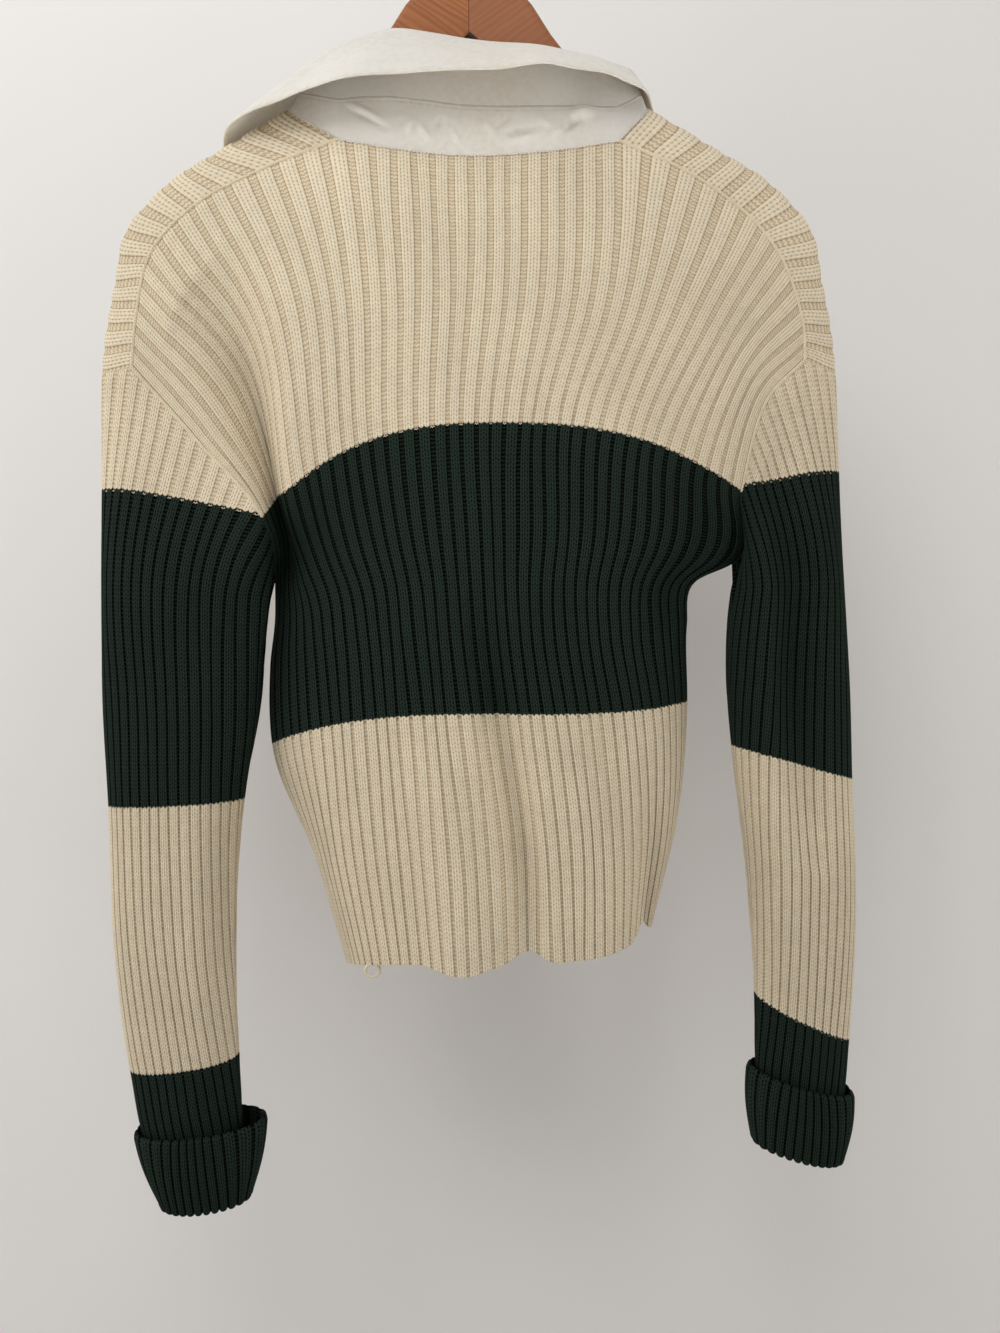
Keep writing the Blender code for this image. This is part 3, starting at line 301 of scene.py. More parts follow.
def add_piece(name, points, faces, material, slot, replaces=(), maps=(), weld=0.0, angle=70):
    """A piece from points in millimetres, with its maps, that rides on the garment."""
    flat = np.fromiter((index for face in faces for index in face), int)
    used, place = np.unique(flat, return_inverse=True)
    sizes = np.fromiter((len(face) for face in faces), int)
    ends = np.cumsum(sizes)
    renamed = [tuple(place[end - size:end]) for end, size in zip(ends.tolist(), sizes.tolist())]
    mesh = bpy.data.meshes.new(name)
    mesh.from_pydata((points[used] * MM).tolist(), [], renamed)
    corners = np.empty(len(mesh.loops), np.int32)
    mesh.loops.foreach_get("vertex_index", corners)
    for map_name, values in maps:
        layer = mesh.uv_layers.new(name=map_name, do_init=False)
        layer.uv.foreach_set("vector", values[used][corners].astype(np.float32).ravel())
    face_outwards(mesh, weld)
    mesh.shade_smooth()
    mesh.set_sharp_from_angle(angle=radians(angle))
    mesh.materials.append(material)
    piece = add_object(name, mesh)
    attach(piece, "root")
    if replaces:
        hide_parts(*replaces)
    triangles = sum(len(p.vertices) - 2 for p in mesh.polygons)
    print(f"{name}: {len(mesh.vertices)} points, {triangles} triangles")
    return piece


def shell_maps(uv, inner_at):
    """A shell's two maps: the cloth's own coordinates, and a flat one with room for each face."""
    def spread(columns, low):
        flat = np.empty((len(uv), columns, 2))
        flat[:, :, 0] = low + 0.48 * np.linspace(0, 1, columns)[None, :]
        flat[:, :, 1] = 0.01 + 0.98 * np.linspace(0, 1, len(uv))[:, None]
        return flat.reshape(-1, 2)

    own = np.concatenate([uv.reshape(-1, 2), uv[:, inner_at].reshape(-1, 2)])
    flat = np.concatenate([spread(uv.shape[1], 0.01), spread(len(inner_at), 0.51)])
    return [("cloth", own), ("OFBake", flat)]


def shell_piece(name, node, slot, material, outer, inner, inner_at, uv, cells=None, **options):
    """A shell with its maps, that replaces a node of the frame."""
    points, faces = shell(outer, inner, inner_at, cells)
    return add_piece(name, points, faces, material, slot, (node,), shell_maps(uv, inner_at),
                     **options)


# %% [markdown]
# ## The rib knit
#
# A two-by-two rib has two plain wales that stand proud and two purl wales that sink
# between them. At rest the purl wales hide and each rib touches the next. Stretched over
# a hanger's arm, the trough opens and shows its zigzag of purl loops. So the relief is
# built from the cloth's own pitch: a plain rib keeps its width, and the trough takes what
# is left.

# %% Rib profile
COURSE_PITCH = 2.5          # height of one stitch, mm
CREST = 0.85                # top of a rib over the solid's surface
FLOOR_SHUT, FLOOR_OPEN = -0.30, 0.05    # bottom of a closed and of an open trough
PITCH_SHUT, PITCH_OPEN = 6.8, 9.6       # rib pitches at which the trough is closed, and open
TROUGH_SHUT, TROUGH_OPEN, TROUGH_MOST = 0.075, 0.150, 0.165    # half a trough over the pitch
KNIT_WALL = 1.9             # from the solid's surface to the cloth's inside

# across: shares of the trough's half and of the rib's width from its edge. level: 0 at the
# trough's floor, 1 at the crest, and round_level the same on a relaxed cuff. phase: where the
# point lies on the stitches' map.
RibPoint = namedtuple("RibPoint", "name trough rib level round_level phase")
RIB_HALF = [
    RibPoint("trough", 0.00, 0.00, 0.00, 0.00, 0.000),
    RibPoint("trough side", 0.72, 0.00, 0.10, 0.12, 0.144),
    RibPoint("wall", 1.00, 0.03, 0.52, 0.34, 0.218),
    RibPoint("rib edge", 1.00, 0.12, 0.88, 0.66, 0.272),
    RibPoint("wale", 1.00, 0.28, 1.00, 0.92, 0.368),
]
RIB_MIDDLE = RibPoint("between the wales", 1.00, 0.50, 0.93, 1.00, 0.5)


def rib_columns(ribs):
    """For each column of a ribbed sheet: its rib, its profile point and whether mirrored."""
    columns = []
    for rib in range(ribs):
        columns += [(rib, point, False) for point in RIB_HALF]
        columns.append((rib, RIB_MIDDLE, False))
        columns += [(rib, point, True) for point in reversed(RIB_HALF[1:])]
    columns.append((ribs, RIB_HALF[0], False))
    return columns


def rib_places(columns, pitch):
    """Each row's rib coordinate for each column. pitch: rows by grooves, in millimetres."""
    opened = (pitch - PITCH_SHUT) / (PITCH_OPEN - PITCH_SHUT)
    half = np.clip(TROUGH_SHUT + (TROUGH_OPEN - TROUGH_SHUT) * opened, TROUGH_SHUT, TROUGH_MOST)
    places = np.empty((len(pitch), len(columns)))
    last = pitch.shape[1] - 1
    for index, (rib, point, mirrored) in enumerate(columns):
        before, after = half[:, min(rib, last)], half[:, min(rib + 1, last)]
        width = 1 - before - after
        if mirrored:
            places[:, index] = rib + 1 - after * point.trough - width * point.rib
        else:
            places[:, index] = rib + before * point.trough + width * point.rib
    return places


def rib_relief(columns, pitch, crest=CREST, relaxed=False):
    """Height over the solid's surface, rows by columns."""
    last = pitch.shape[1] - 1
    open_share = ease((pitch - PITCH_SHUT) / (PITCH_OPEN - PITCH_SHUT))
    floor = FLOOR_SHUT + (FLOOR_OPEN - FLOOR_SHUT) * open_share
    level = np.array([point.round_level if relaxed else point.level for _, point, _ in columns])
    grooves = np.array([min(rib + mirrored, last) for rib, _, mirrored in columns])
    return floor[:, grooves] + (crest - floor[:, grooves]) * level[None, :]


def drifting(rows, columns, row_step, column_step, seed):
    """A smooth random field of about unit size, rows by columns."""
    tall, wide = int(rows / row_step) + 3, int(columns / column_step) + 3
    coarse = np.random.default_rng(seed).normal(size=(tall, wide))
    field = smooth(np.arange(tall), coarse, np.arange(rows) / row_step)
    return smooth(np.arange(wide), field.T, np.arange(columns) / column_step).T


def rib_phases(columns):
    return np.array([
        rib + (1 - point.phase if mirrored else point.phase) for rib, point, mirrored in columns
    ])


def blend_columns(grid, per_rib, places):
    """A grid that has per_rib columns for each rib, read at rib coordinates, row by row."""
    at = np.clip(places * per_rib, 0, grid.shape[1] - 1.001)
    low = at.astype(int)
    share = (at - low)[:, :, None]
    rows = np.arange(grid.shape[0])[:, None]
    return grid[rows, low] * (1 - share) + grid[rows, low + 1] * share


COLUMNS_PER_RIB = len(rib_columns(1)) - 1
print("columns for each rib:", COLUMNS_PER_RIB)

# %% [markdown]
# ## Where the body's courses lie
#
# Each table row is one course line: a row of stitches that runs from side seam to side
# seam. The hem is first. The left side hangs lowest in every row, and from the armpits up
# the middle stands above both sides. The ribs near the left armhole crowd together in a
# deep fold.

# %% Tables of the body
BODY_RIBS, NECK_RIBS, SLOT_RIBS = 42, (13, 29), (20, 22)
Course = namedtuple(
    "Course",
    "name course left_x left_y left_z mid_y mid_z right_x right_y right_z wrap arch "
    "left_share mid_share right_share",
)
BACK_COURSES = [
    Course("hem", 0, -80, 6, -722, -64, -708, 120, 6, -697, 92, 2.0, 0.140, 0.515, 0.130),
    Course("low", 65, -100, 5, -657, -57, -644, 136, 5, -632, 90, 2.0, 0.133, 0.513, 0.153),
    Course("green_foot", 150, -131, 9, -582, -46, -560, 144, 4, -553, 86, 2.0, 0.185, 0.520, 0.150),
    Course("waist", 200, -134, 16, -530, -45, -509, 144, 3, -503, 84, 2.2, 0.185, 0.513, 0.172),
    Course("underarm", 232, -131, 15, -500, -46, -478, 148, -1, -475, 80, 2.4, 0.155, 0.499, 0.180),
    Course("armpit", 256, -129, 6, -474, -47, -454, 172, -4, -463, 62, 2.6, 0.080, 0.447, 0.222),
    Course("green_top", 327, -128, -34, -437, -49, -382, 173, -27, -420, 60, 2.7, 0.030, 0.434, 0.202),
    Course("yoke", 410, -170, -30, -388, -43, -299, 186, -28, -367, 44, 4.6, 0.150, 0.505, 0.140),
]
FRONT_COURSES = [
    Course("hem", 0, -80, 6, -722, 58, -712, 120, 6, -697, 92, 2.0, 0.17, 0.5, 0.17),
    Course("low", 65, -100, 5, -657, 52, -647, 136, 5, -632, 90, 2.0, 0.17, 0.5, 0.17),
    Course("green_foot", 150, -131, 9, -582, 42, -563, 144, 4, -553, 86, 2.0, 0.17, 0.5, 0.17),
    Course("waist", 200, -134, 16, -530, 43, -512, 144, 3, -503, 84, 2.2, 0.16, 0.5, 0.17),
    Course("underarm", 232, -131, 15, -500, 44, -480, 148, -1, -475, 86, 2.4, 0.15, 0.5, 0.16),
    Course("armpit", 256, -129, 6, -474, 43, -456, 172, -4, -463, 76, 2.6, 0.15, 0.5, 0.15),
    Course("green_top", 327, -134, 12, -440, 40, -386, 178, 14, -426, 60, 2.7, 0.15, 0.5, 0.15),
    Course("chest", 390, -180, 17, -387, 38, -322, 196, 17, -376, 46, 4.0, 0.15, 0.5, 0.15),
]
EdgePoint = namedtuple("EdgePoint", "rib x y z")
SHOULDER_SEAM_LEFT = [
    EdgePoint(0.0, 214.7, -20, -339), EdgePoint(2.5, 212.6, -18, -306),
    EdgePoint(5.0, 205.6, -16, -268), EdgePoint(8.0, 178.6, -16, -236),
    EdgePoint(10.3, 130.6, -18, -211), EdgePoint(13.0, 81.7, -24, -195),
]
SHOULDER_SEAM_RIGHT = [
    EdgePoint(0.0, 215.0, -20, -334), EdgePoint(2.5, 213.7, -18, -307),
    EdgePoint(5.0, 202.7, -16, -271), EdgePoint(8.0, 177.0, -16, -238),
    EdgePoint(10.3, 143.3, -18, -215), EdgePoint(13.0, 95.2, -24, -196),
]
# a neck point is a rib and a place; the corners are the ribs where shoulder meets neck
BACK_SEAM_RIBS = (0.0, 2.5, 5.0, 8.0, 11.6, 14.5)    # the back's own ribs at the left seam
BACK_NECK = [(17.0, -47.0, -29, -203), (21.0, 0.5, -30, -208), (25.0, 48.0, -29, -205)]
BACK_CORNERS = (14.5, 29.0)
SHOULDER_RIDGE = [
    EdgePoint(0.0, 238.5, 0, -334), EdgePoint(2.0, 235.0, 0, -305),
    EdgePoint(4.0, 229.5, 0, -275), EdgePoint(6.0, 222.5, 0, -242),
    EdgePoint(8.0, 197.0, 0, -213), EdgePoint(10.5, 159.0, 0, -189),
    EdgePoint(13.0, 115.0, 0, -163),
]
FRONT_NECKLINE = [
    EdgePoint(0.0, 225.0, 14, -347), EdgePoint(3.0, 222.0, 14, -303),
    EdgePoint(6.0, 214.0, 13, -258), EdgePoint(8.0, 190.0, 13, -230),
    EdgePoint(10.5, 153.0, 13, -206), EdgePoint(13.0, 112.0, 14, -181),
    EdgePoint(16.0, 86.0, 27, -211), EdgePoint(20.0, 30.0, 40, -254),
]
FRONT_MIDDLE = 7.0          # the neck opening's middle lies this far to the wearer's right
SLOT_FOOT = 352             # course at which the placket's slot ends
OVER_COURSES = [456, 467, 475, 483, 505]    # neckline, the bend over the hanger, seam
TOP_COURSE = OVER_COURSES[-1]
ARMPIT_COURSE = 256
RIDGE_HALF, RIDGE_DROP = 7, 5           # the bend over the hanger's arm
LINE_POINTS, SHARE_SOFT = 241, 1.2      # points of a course line; ribs over which shares blend
print("courses from hem to shoulder:", round(TOP_COURSE / COURSE_PITCH))

# %% [markdown]
# ## Folds
#
# A fold is a trough or a ridge that follows a line of ribs and fades out at both ends. The
# deepest one runs down from the left armhole, where the sleeve's weight pulls the back
# sideways. The hem hangs in soft pipes.

# %% Tables of the folds
Fold = namedtuple("Fold", "name rib_low rib_high half_width depth lift low high")
BACK_FOLDS = [
    Fold("hem pipe", 17.5, 17.0, 4.0, 9, -6, -60, 150),
    Fold("hem valley", 23.2, 22.0, 2.6, -13, 9, -60, 230),
    Fold("hem roll", 31.0, 30.0, 4.5, 6, 0, -60, 120),
    Fold("hem side trough", 36.0, 35.0, 2.6, -6, 8, -60, 130),
    Fold("waist trough", 32.0, 31.0, 2.8, -5, 0, 60, 200),
    Fold("left armhole fold", 4.4, 5.6, 4.4, -28, 14, 246, 470),
    Fold("left blade trough", 7.5, 7.5, 3.5, -6, 0, 330, 498),
    Fold("right underarm fold", 38.4, 38.0, 3.0, -10, 0, 190, 330),
]
FRONT_FOLDS = [
    Fold("front hem fold", 12.0, 13.0, 4.0, -16, 4, -60, 230),
    Fold("front hem roll", 18.0, 18.0, 4.0, 8, 0, -60, 200),
    Fold("front hem valley", 26.0, 25.0, 3.6, -14, 4, -60, 210),
    Fold("front side roll", 33.0, 32.0, 4.0, 7, 0, -60, 190),
]


HEM_LIFT_TOP = 130          # a hem fold draws the cloth up only below this course


def fold_shift(folds, ribs, courses):
    """Two grids: how far folds push the cloth out, and how far they draw it up."""
    out = np.zeros((len(courses), len(ribs)))
    up = np.zeros_like(out)
    for fold in folds:
        along = np.clip((courses - fold.low) / (fold.high - fold.low), 0, 1)
        line = fold.rib_low + (fold.rib_high - fold.rib_low) * along
        strength = np.sin(pi * along) ** 0.8
        across = hump((ribs[None, :] - line[:, None]) / fold.half_width)
        out += fold.depth * strength[:, None] * across
        if fold.low < 0:
            strength = strength * (1 - ease(courses / HEM_LIFT_TOP))
        up += fold.lift * strength[:, None] * across
    return out, up


# %% Lines of the body
def rib_shares(course, ribs):
    """Shares of a course line at the given ribs: even between its knots, soft at them."""
    knots = [-7, 0, 7, 21, 35, 42, 49]
    shares = [-course.left_share, 0, course.left_share, course.mid_share,
              1 - course.right_share, 1, 1 + course.right_share]
    return np.mean([np.interp(ribs + shift, knots, shares)
                    for shift in np.linspace(-SHARE_SOFT, SHARE_SOFT, 5)], axis=0)


def course_line(course, ribs):
    """Points of one course line at the given ribs, spaced by length along the line."""
    turn = np.radians(course.wrap) * np.linspace(-1, 1, LINE_POINTS)
    across = np.sin(turn) / sin(radians(min(course.wrap, 90)))
    fall = (np.cos(turn) - cos(radians(course.wrap))) / (1 - cos(radians(course.wrap)))
    side = 0.5 + 0.5 * np.clip(across, -1, 1)
    edge_y = course.left_y + (course.right_y - course.left_y) * side
    edge_z = course.left_z + (course.right_z - course.left_z) * side
    middle = 0.5 * (course.left_x + course.right_x)
    half = 0.5 * (course.right_x - course.left_x)
    arch = np.abs(np.clip(across, -1, 1)) ** course.arch
    line = np.stack([
        middle + half * across,
        edge_y + (course.mid_y - edge_y) * fall,
        course.mid_z + (edge_z - course.mid_z) * arch,
    ], axis=1)
    share = rib_shares(course, ribs)
    return read_line(line, line, np.clip(share, 0, 1) * lengths_along(line)[-1])


def edge_line(left, right, ribs):
    """Points of an edge at the given ribs, from its left and right tables."""
    rows = [(p.rib, -p.x, p.y, p.z) for p in left]
    rows += [(BODY_RIBS - p.rib, p.x, p.y, p.z) for p in reversed(right)]
    table = np.array(rows, float)
    return smooth(table[:, 0], table[:, 1:], ribs)


def back_top(ribs):
    """The back's top edge at the given ribs, with corners where shoulder meets neck."""
    low, high = BACK_CORNERS
    left = np.array([(rib, -p.x, p.y, p.z)
                     for rib, p in zip(BACK_SEAM_RIBS, SHOULDER_SEAM_LEFT)], float)
    right = np.array([(BODY_RIBS - p.rib, p.x, p.y, p.z)
                      for p in reversed(SHOULDER_SEAM_RIGHT)], float)
    neck = np.array([left[-1], *BACK_NECK, right[0]], float)
    line = np.empty((len(ribs), 3))
    for chosen, table in ((ribs <= low, left), ((ribs > low) & (ribs < high), neck),
                          (ribs >= high, right)):
        line[chosen] = smooth(table[:, 0], table[:, 1:], ribs[chosen])
    return line


# %% The back's and the front's surfaces
def back_grid(ribs, courses):
    """The back panel's surface: rows at the given courses, columns at the given ribs."""
    rows = [course_line(course, ribs) for course in BACK_COURSES]
    knots = [course.course for course in BACK_COURSES]
    rows.append(back_top(ribs))
    grid = smooth(knots + [TOP_COURSE], np.array(rows), courses)
    out, up = fold_shift(BACK_FOLDS, ribs, courses)
    grid[:, :, 1] -= out
    grid[:, :, 2] += up
    return grid


def front_grid(ribs, courses):
    """The front panel's surface. Its last knots are neckline, ridge and seam."""
    rows = [course_line(course, ribs) for course in FRONT_COURSES]
    knots = [course.course for course in FRONT_COURSES] + OVER_COURSES
    right = [p._replace(x=p.x + 2 * FRONT_MIDDLE * (p.rib >= NECK_RIBS[0]))
             for p in FRONT_NECKLINE]
    rows.append(edge_line(FRONT_NECKLINE, right, ribs))
    ridge = edge_line(SHOULDER_RIDGE, SHOULDER_RIDGE, ribs)
    rows += [ridge + (0, RIDGE_HALF, -RIDGE_DROP), ridge, ridge - (0, RIDGE_HALF, RIDGE_DROP)]
    rows.append(edge_line(SHOULDER_SEAM_LEFT, SHOULDER_SEAM_RIGHT, ribs))
    rows = np.array(rows)
    neckline = len(FRONT_COURSES)
    below = courses <= OVER_COURSES[0]
    grid = np.empty((len(courses), len(ribs), 3))
    grid[below] = smooth(knots[:neckline + 1], rows[:neckline + 1], courses[below])
    grid[~below] = smooth(knots[neckline:], rows[neckline:], courses[~below])
    out, up = fold_shift(FRONT_FOLDS, ribs, courses)
    grid[:, :, 1] += out
    grid[:, :, 2] += up
    return grid


# %% Fine grids of the two panels
BASE_PER_RIB = 6
BACK_SPACING, FRONT_SPACING, BEND_SPACING = 3.0, 4.4, 2.0       # between rows, mm
BASE_RIBS = np.arange(BODY_RIBS * BASE_PER_RIB + 1) / BASE_PER_RIB


def rows_between(stops, spacing):
    """Rows at every stop, and evenly between them about this far apart."""
    rows = [np.array([stops[0]], float)]
    for low, high in zip(stops[:-1], stops[1:]):
        rows.append(np.linspace(low, high, max(1, round((high - low) / spacing)) + 1)[1:])
    return np.concatenate(rows)


BACK_ROWS = rows_between([0, ARMPIT_COURSE, TOP_COURSE], BACK_SPACING)
FRONT_ROWS = np.concatenate([
    rows_between([0, ARMPIT_COURSE, SLOT_FOOT, OVER_COURSES[0]], FRONT_SPACING),
    rows_between(OVER_COURSES, BEND_SPACING)[1:],
])
back_base = back_grid(BASE_RIBS, BACK_ROWS)
front_base = front_grid(BASE_RIBS, FRONT_ROWS)
back_out = surface_normals(back_base)
front_out = -surface_normals(front_base)
print("rows:", len(BACK_ROWS), "on the back,", len(FRONT_ROWS), "on the front")

# %% [markdown]
# ## Yarn, light and shade on the stitches
#
# A knit stitch looks like a small V. Its two legs catch the light, and the gaps between
# legs fall dark. A plain rib shows two columns of such V's. The purl trough beside it shows
# the backs of the stitches: rows of small bumps that zigzag. One node group draws this from
# two numbers, the rib (across) and the row (up), and paints the light and shade of legs,
# gaps and trough into the colour. Where the colour of the yarn changes, the V's give the
# border its teeth.

# %% Node helpers
class Graph:
    """Adds nodes to a tree. Its arithmetic takes numbers and sockets alike."""

    def __init__(self, tree):
        self.tree = tree

    def add(self, kind, **settings):
        node = self.tree.nodes.new(kind)
        for name, value in settings.items():
            setattr(node, name, value)
        return node

    def feed(self, socket, value):
        if isinstance(value, bpy.types.NodeSocket):
            self.tree.links.new(value, socket)
        else:
            socket.default_value = (*value, 1) if socket.type == "RGBA" else value

    def give(self, sockets, **values):
        for name, value in values.items():
            self.feed(sockets[name], value)

    def math(self, operation, *values, clamp=False):
        node = self.add("ShaderNodeMath", operation=operation, use_clamp=clamp)
        for socket, value in zip(node.inputs, values):
            self.feed(socket, value)
        return node.outputs[0]

    def plus(self, first, second):
        return self.math("ADD", first, second)

    def minus(self, first, second):
        return self.math("SUBTRACT", first, second)

    def times(self, first, second):
        return self.math("MULTIPLY", first, second)

    def gap(self, first, second):
        return self.math("ABSOLUTE", self.minus(first, second))

    def soft_step(self, value, low, high, to_low=0.0, to_high=1.0):
        node = self.add("ShaderNodeMapRange", interpolation_type="SMOOTHSTEP")
        for socket, given in zip(node.inputs, (value, low, high, to_low, to_high)):
            self.feed(socket, given)
        return node.outputs[0]

    def mix(self, share, first, second, blend="MIX"):
        node = self.add("ShaderNodeMix", data_type="RGBA", blend_type=blend)
        for socket, value in zip((node.inputs[0], node.inputs[6], node.inputs[7]),
                                 (share, first, second)):
            self.feed(socket, value)
        return node.outputs[2]

    def noise(self, place, scale, detail=2.0, roughness=0.5):
        node = self.add("ShaderNodeTexNoise")
        self.feed(node.inputs["Vector"], place)
        self.feed(node.inputs["Scale"], scale)
        self.feed(node.inputs["Detail"], detail)
        self.feed(node.inputs["Roughness"], roughness)
        return node.outputs[0]

    def stretched(self, place, scale, turn=(0, 0, 0)):
        node = self.add("ShaderNodeMapping")
        self.feed(node.inputs["Vector"], place)
        node.inputs["Scale"].default_value = scale
        node.inputs["Rotation"].default_value = turn
        return node.outputs[0]

    def grey(self, value):
        node = self.add("ShaderNodeCombineColor")
        for socket in node.inputs:
            self.feed(socket, value)
        return node.outputs[0]

    def parts(self, vector):
        node = self.add("ShaderNodeSeparateXYZ")
        self.feed(node.inputs[0], vector)
        return node.outputs[0], node.outputs[1], node.outputs[2]

    def cloth_place(self):
        return self.add("ShaderNodeUVMap", uv_map="cloth").outputs[0]

    def room_place(self):
        return self.add("ShaderNodeTexCoord").outputs["Object"]

    def group(self, tree, **given):
        """A group's output sockets, with its inputs fed."""
        node = self.add("ShaderNodeGroup", node_tree=tree)
        self.give(node.inputs, **given)
        return node.outputs

    def bump(self, shader, height, distance, strength=1.0):
        """Relief on a shader's normal from a height, over a distance in metres."""
        node = self.add("ShaderNodeBump")
        self.give(node.inputs, Strength=strength, Distance=distance, Height=height)
        self.feed(shader.inputs["Normal"], node.outputs[0])


def new_group(name, inputs, outputs):
    """A shader group; gives its tree, its graph, the sockets given to it and those it fills."""
    tree = bpy.data.node_groups.new(name, "ShaderNodeTree")
    for label, kind, value in inputs:
        socket = tree.interface.new_socket(label, in_out="INPUT", socket_type=kind)
        if value is not None:
            socket.default_value = value
    for label, kind in outputs:
        tree.interface.new_socket(label, in_out="OUTPUT", socket_type=kind)
    g = Graph(tree)
    return tree, g, g.add("NodeGroupInput").outputs, g.add("NodeGroupOutput").inputs


VECTOR, FLOAT = "NodeSocketVector", "NodeSocketFloat"
print("node helpers ready")

# %% Rib stitches
TROUGH_PHASE = 0.2          # the trough takes the first and last fifth of a rib's phase
V_SLANT = 0.42              # how far a leg of a V climbs from its foot, in rows
# how deep the painted shade is on the line between rib and trough, on the body and on the sleeves
BODY_GROOVE_SHADE, SLEEVE_GROOVE_SHADE = 0.4, 0.2   # how dark the line between rib and trough is


def rib_stitch_group():
    tree, g, given, filled = new_group(
        "rib stitches",
        [("Place", VECTOR, None), ("Groove", FLOAT, BODY_GROOVE_SHADE)],
        [("Height", FLOAT), ("Shade", FLOAT), ("Row", FLOAT), ("Trough", FLOAT)],
    )
    across, up, _ = g.parts(given["Place"])
    wobble = g.noise(g.stretched(given["Place"], (2.0, 0.9, 1)), 1.0, 1.0)
    up = g.plus(up, g.times(g.minus(wobble, 0.5), 0.5))
    off_middle = g.gap(g.math("FRACT", across), 0.5)
    # on a rib: a is 0 at its middle and 1 at its edge, and b is 0 on a wale's middle line
    a = g.math("DIVIDE", off_middle, 0.5 - TROUGH_PHASE)
    b = g.math("ABSOLUTE", g.times(g.minus(a, 0.5), 2.0))
    row = g.minus(up, g.times(b, V_SLANT))
    stitch = g.math("SINE", g.times(g.math("FRACT", row), pi))
    # a leg is thickest half way between its wale's middle and edge; a hole lies between
    # legs in each row and is darkened with painted shade
    off_leg = g.gap(g.times(b, 2.0), 1.0)
    leg = g.minus(1.0, g.math("POWER", off_leg, 2.0))
    hole = g.times(g.math("POWER", off_leg, 2.6), g.soft_step(stitch, 0.95, 0.15))
    groove = g.math("POWER", off_leg, 4.0)
    line = g.soft_step(stitch, 0.5, 0.0)
    plain = g.times(g.plus(0.35, g.times(leg, 0.65)), g.minus(1.0, g.times(line, 0.18)))
    plain = g.minus(plain, g.times(hole, 0.35))
    # painted shade: darker along the lines between legs and between rows, darkest in the holes
    plain_shade = g.minus(g.minus(1.0, g.times(line, 0.10)), g.times(groove, 0.22))
    plain_shade = g.minus(plain_shade, g.times(hole, 0.9))

    # in the trough: the purl loops' rows bend to and fro
    side = g.minus(g.math("DIVIDE", g.minus(0.5, off_middle), TROUGH_PHASE), 0.5)
    zigzag = g.math("ABSOLUTE", g.times(side, 2.0))
    wave = g.math("COSINE", g.times(g.plus(up, g.times(zigzag, 0.40)), 2 * pi))
    purl = g.plus(0.5, g.times(wave, 0.5))
    purl_shade = g.soft_step(purl, 0.1, 0.9, 0.40, 1.0)
    purl_place = g.plus(g.minus(up, 0.35), g.soft_step(purl, 0.80, 0.97))

    trough = g.soft_step(a, 0.98, 1.10)

    def by_part(on_rib, in_trough):
        return g.plus(g.times(on_rib, g.minus(1.0, trough)), g.times(in_trough, trough))

    # painted shade along the line where a rib meets its trough
    border = g.times(given["Groove"], g.soft_step(g.gap(a, 1.03), 0.16, 0.02))
    shade = g.math("SUBTRACT", by_part(plain_shade, purl_shade), border, clamp=True)
    g.give(filled, Height=by_part(plain, g.times(purl, 0.7)), Shade=shade,
           Row=by_part(row, purl_place), Trough=trough)
    return tree


RIB_STITCHES = rib_stitch_group()
print("group:", RIB_STITCHES.name)

# %% Soft colour of worn cotton
def worn_group():
    tree, g, given, filled = new_group(
        "worn cotton", [("Place", VECTOR, None)], [("Mottle", FLOAT), ("Fuzz", FLOAT)])
    place = given["Place"]
    mottle = g.plus(g.soft_step(g.noise(place, 18.0, 3.0), 0.25, 0.75, 0.95, 1.03),
                    g.soft_step(g.noise(place, 240.0, 2.0), 0.3, 0.7, -0.035, 0.035))
    g.give(filled, Mottle=mottle, Fuzz=g.noise(place, 2600.0, 2.0, 0.7))
    return tree


WORN = worn_group()
print("group:", WORN.name)

# %% Knit materials
# The yarns' own colours; each yarn's colour in the deepest painted shade of its stitches; the painted
# shade of the purl trough.
CREAM = (0.785, 0.690, 0.520)
CREAM_IN_SHADE = (0.40, 0.31, 0.200)
GREEN = (0.0195, 0.0310, 0.0245)
GREEN_IN_SHADE = (0.0002, 0.0010, 0.0004)
TROUGH_SHADE = (0.90, 0.80, 0.64)
BORDER_SOFT = 0.12          # half the width of a colour border, in rows
KNIT_RELIEF, CUFF_RELIEF = 0.00055, 0.0006      # metres


def knit_material(name, bands, relief=KNIT_RELIEF, groove=BODY_GROOVE_SHADE):
    """Cream rib knit, green between the courses of each band (in millimetres)."""
    material, shader = new_material(name, 0.92, 0.03)
    g = Graph(material.node_tree)
    stitch = g.group(RIB_STITCHES, Place=g.cloth_place(), Groove=groove)
    worn = g.group(WORN, Place=g.room_place())
    row, shade, trough = stitch["Row"], stitch["Shade"], stitch["Trough"]
    green = None
    for band in bands:
        low, high = (course / COURSE_PITCH for course in band)
        inside = g.times(g.soft_step(row, low - BORDER_SOFT, low + BORDER_SOFT),
                         g.soft_step(row, high + BORDER_SOFT, high - BORDER_SOFT))
        green = inside if green is None else g.math("MAXIMUM", green, inside)
    # Shade mixes each yarn towards its colour in painted shade; the green is also darker in its
    # troughs, as painted shade.
    green_shade = g.times(g.soft_step(shade, 0.42, 1.0), g.minus(1.0, g.times(trough, 0.30)))
    colour = g.mix(green, g.mix(shade, CREAM_IN_SHADE, CREAM), g.mix(green_shade, GREEN_IN_SHADE, GREEN))
    colour = g.mix(1.0, colour, g.grey(worn["Mottle"]), "MULTIPLY")
    # painted shade: the purl trough is darker and warmer
    tint = g.mix(g.times(trough, 0.22), (1, 1, 1), TROUGH_SHADE)
    g.feed(shader.inputs["Base Color"], g.mix(1.0, colour, tint, "MULTIPLY"))
    g.bump(shader, g.plus(stitch["Height"], g.times(worn["Fuzz"], 0.18)), relief)
    return material


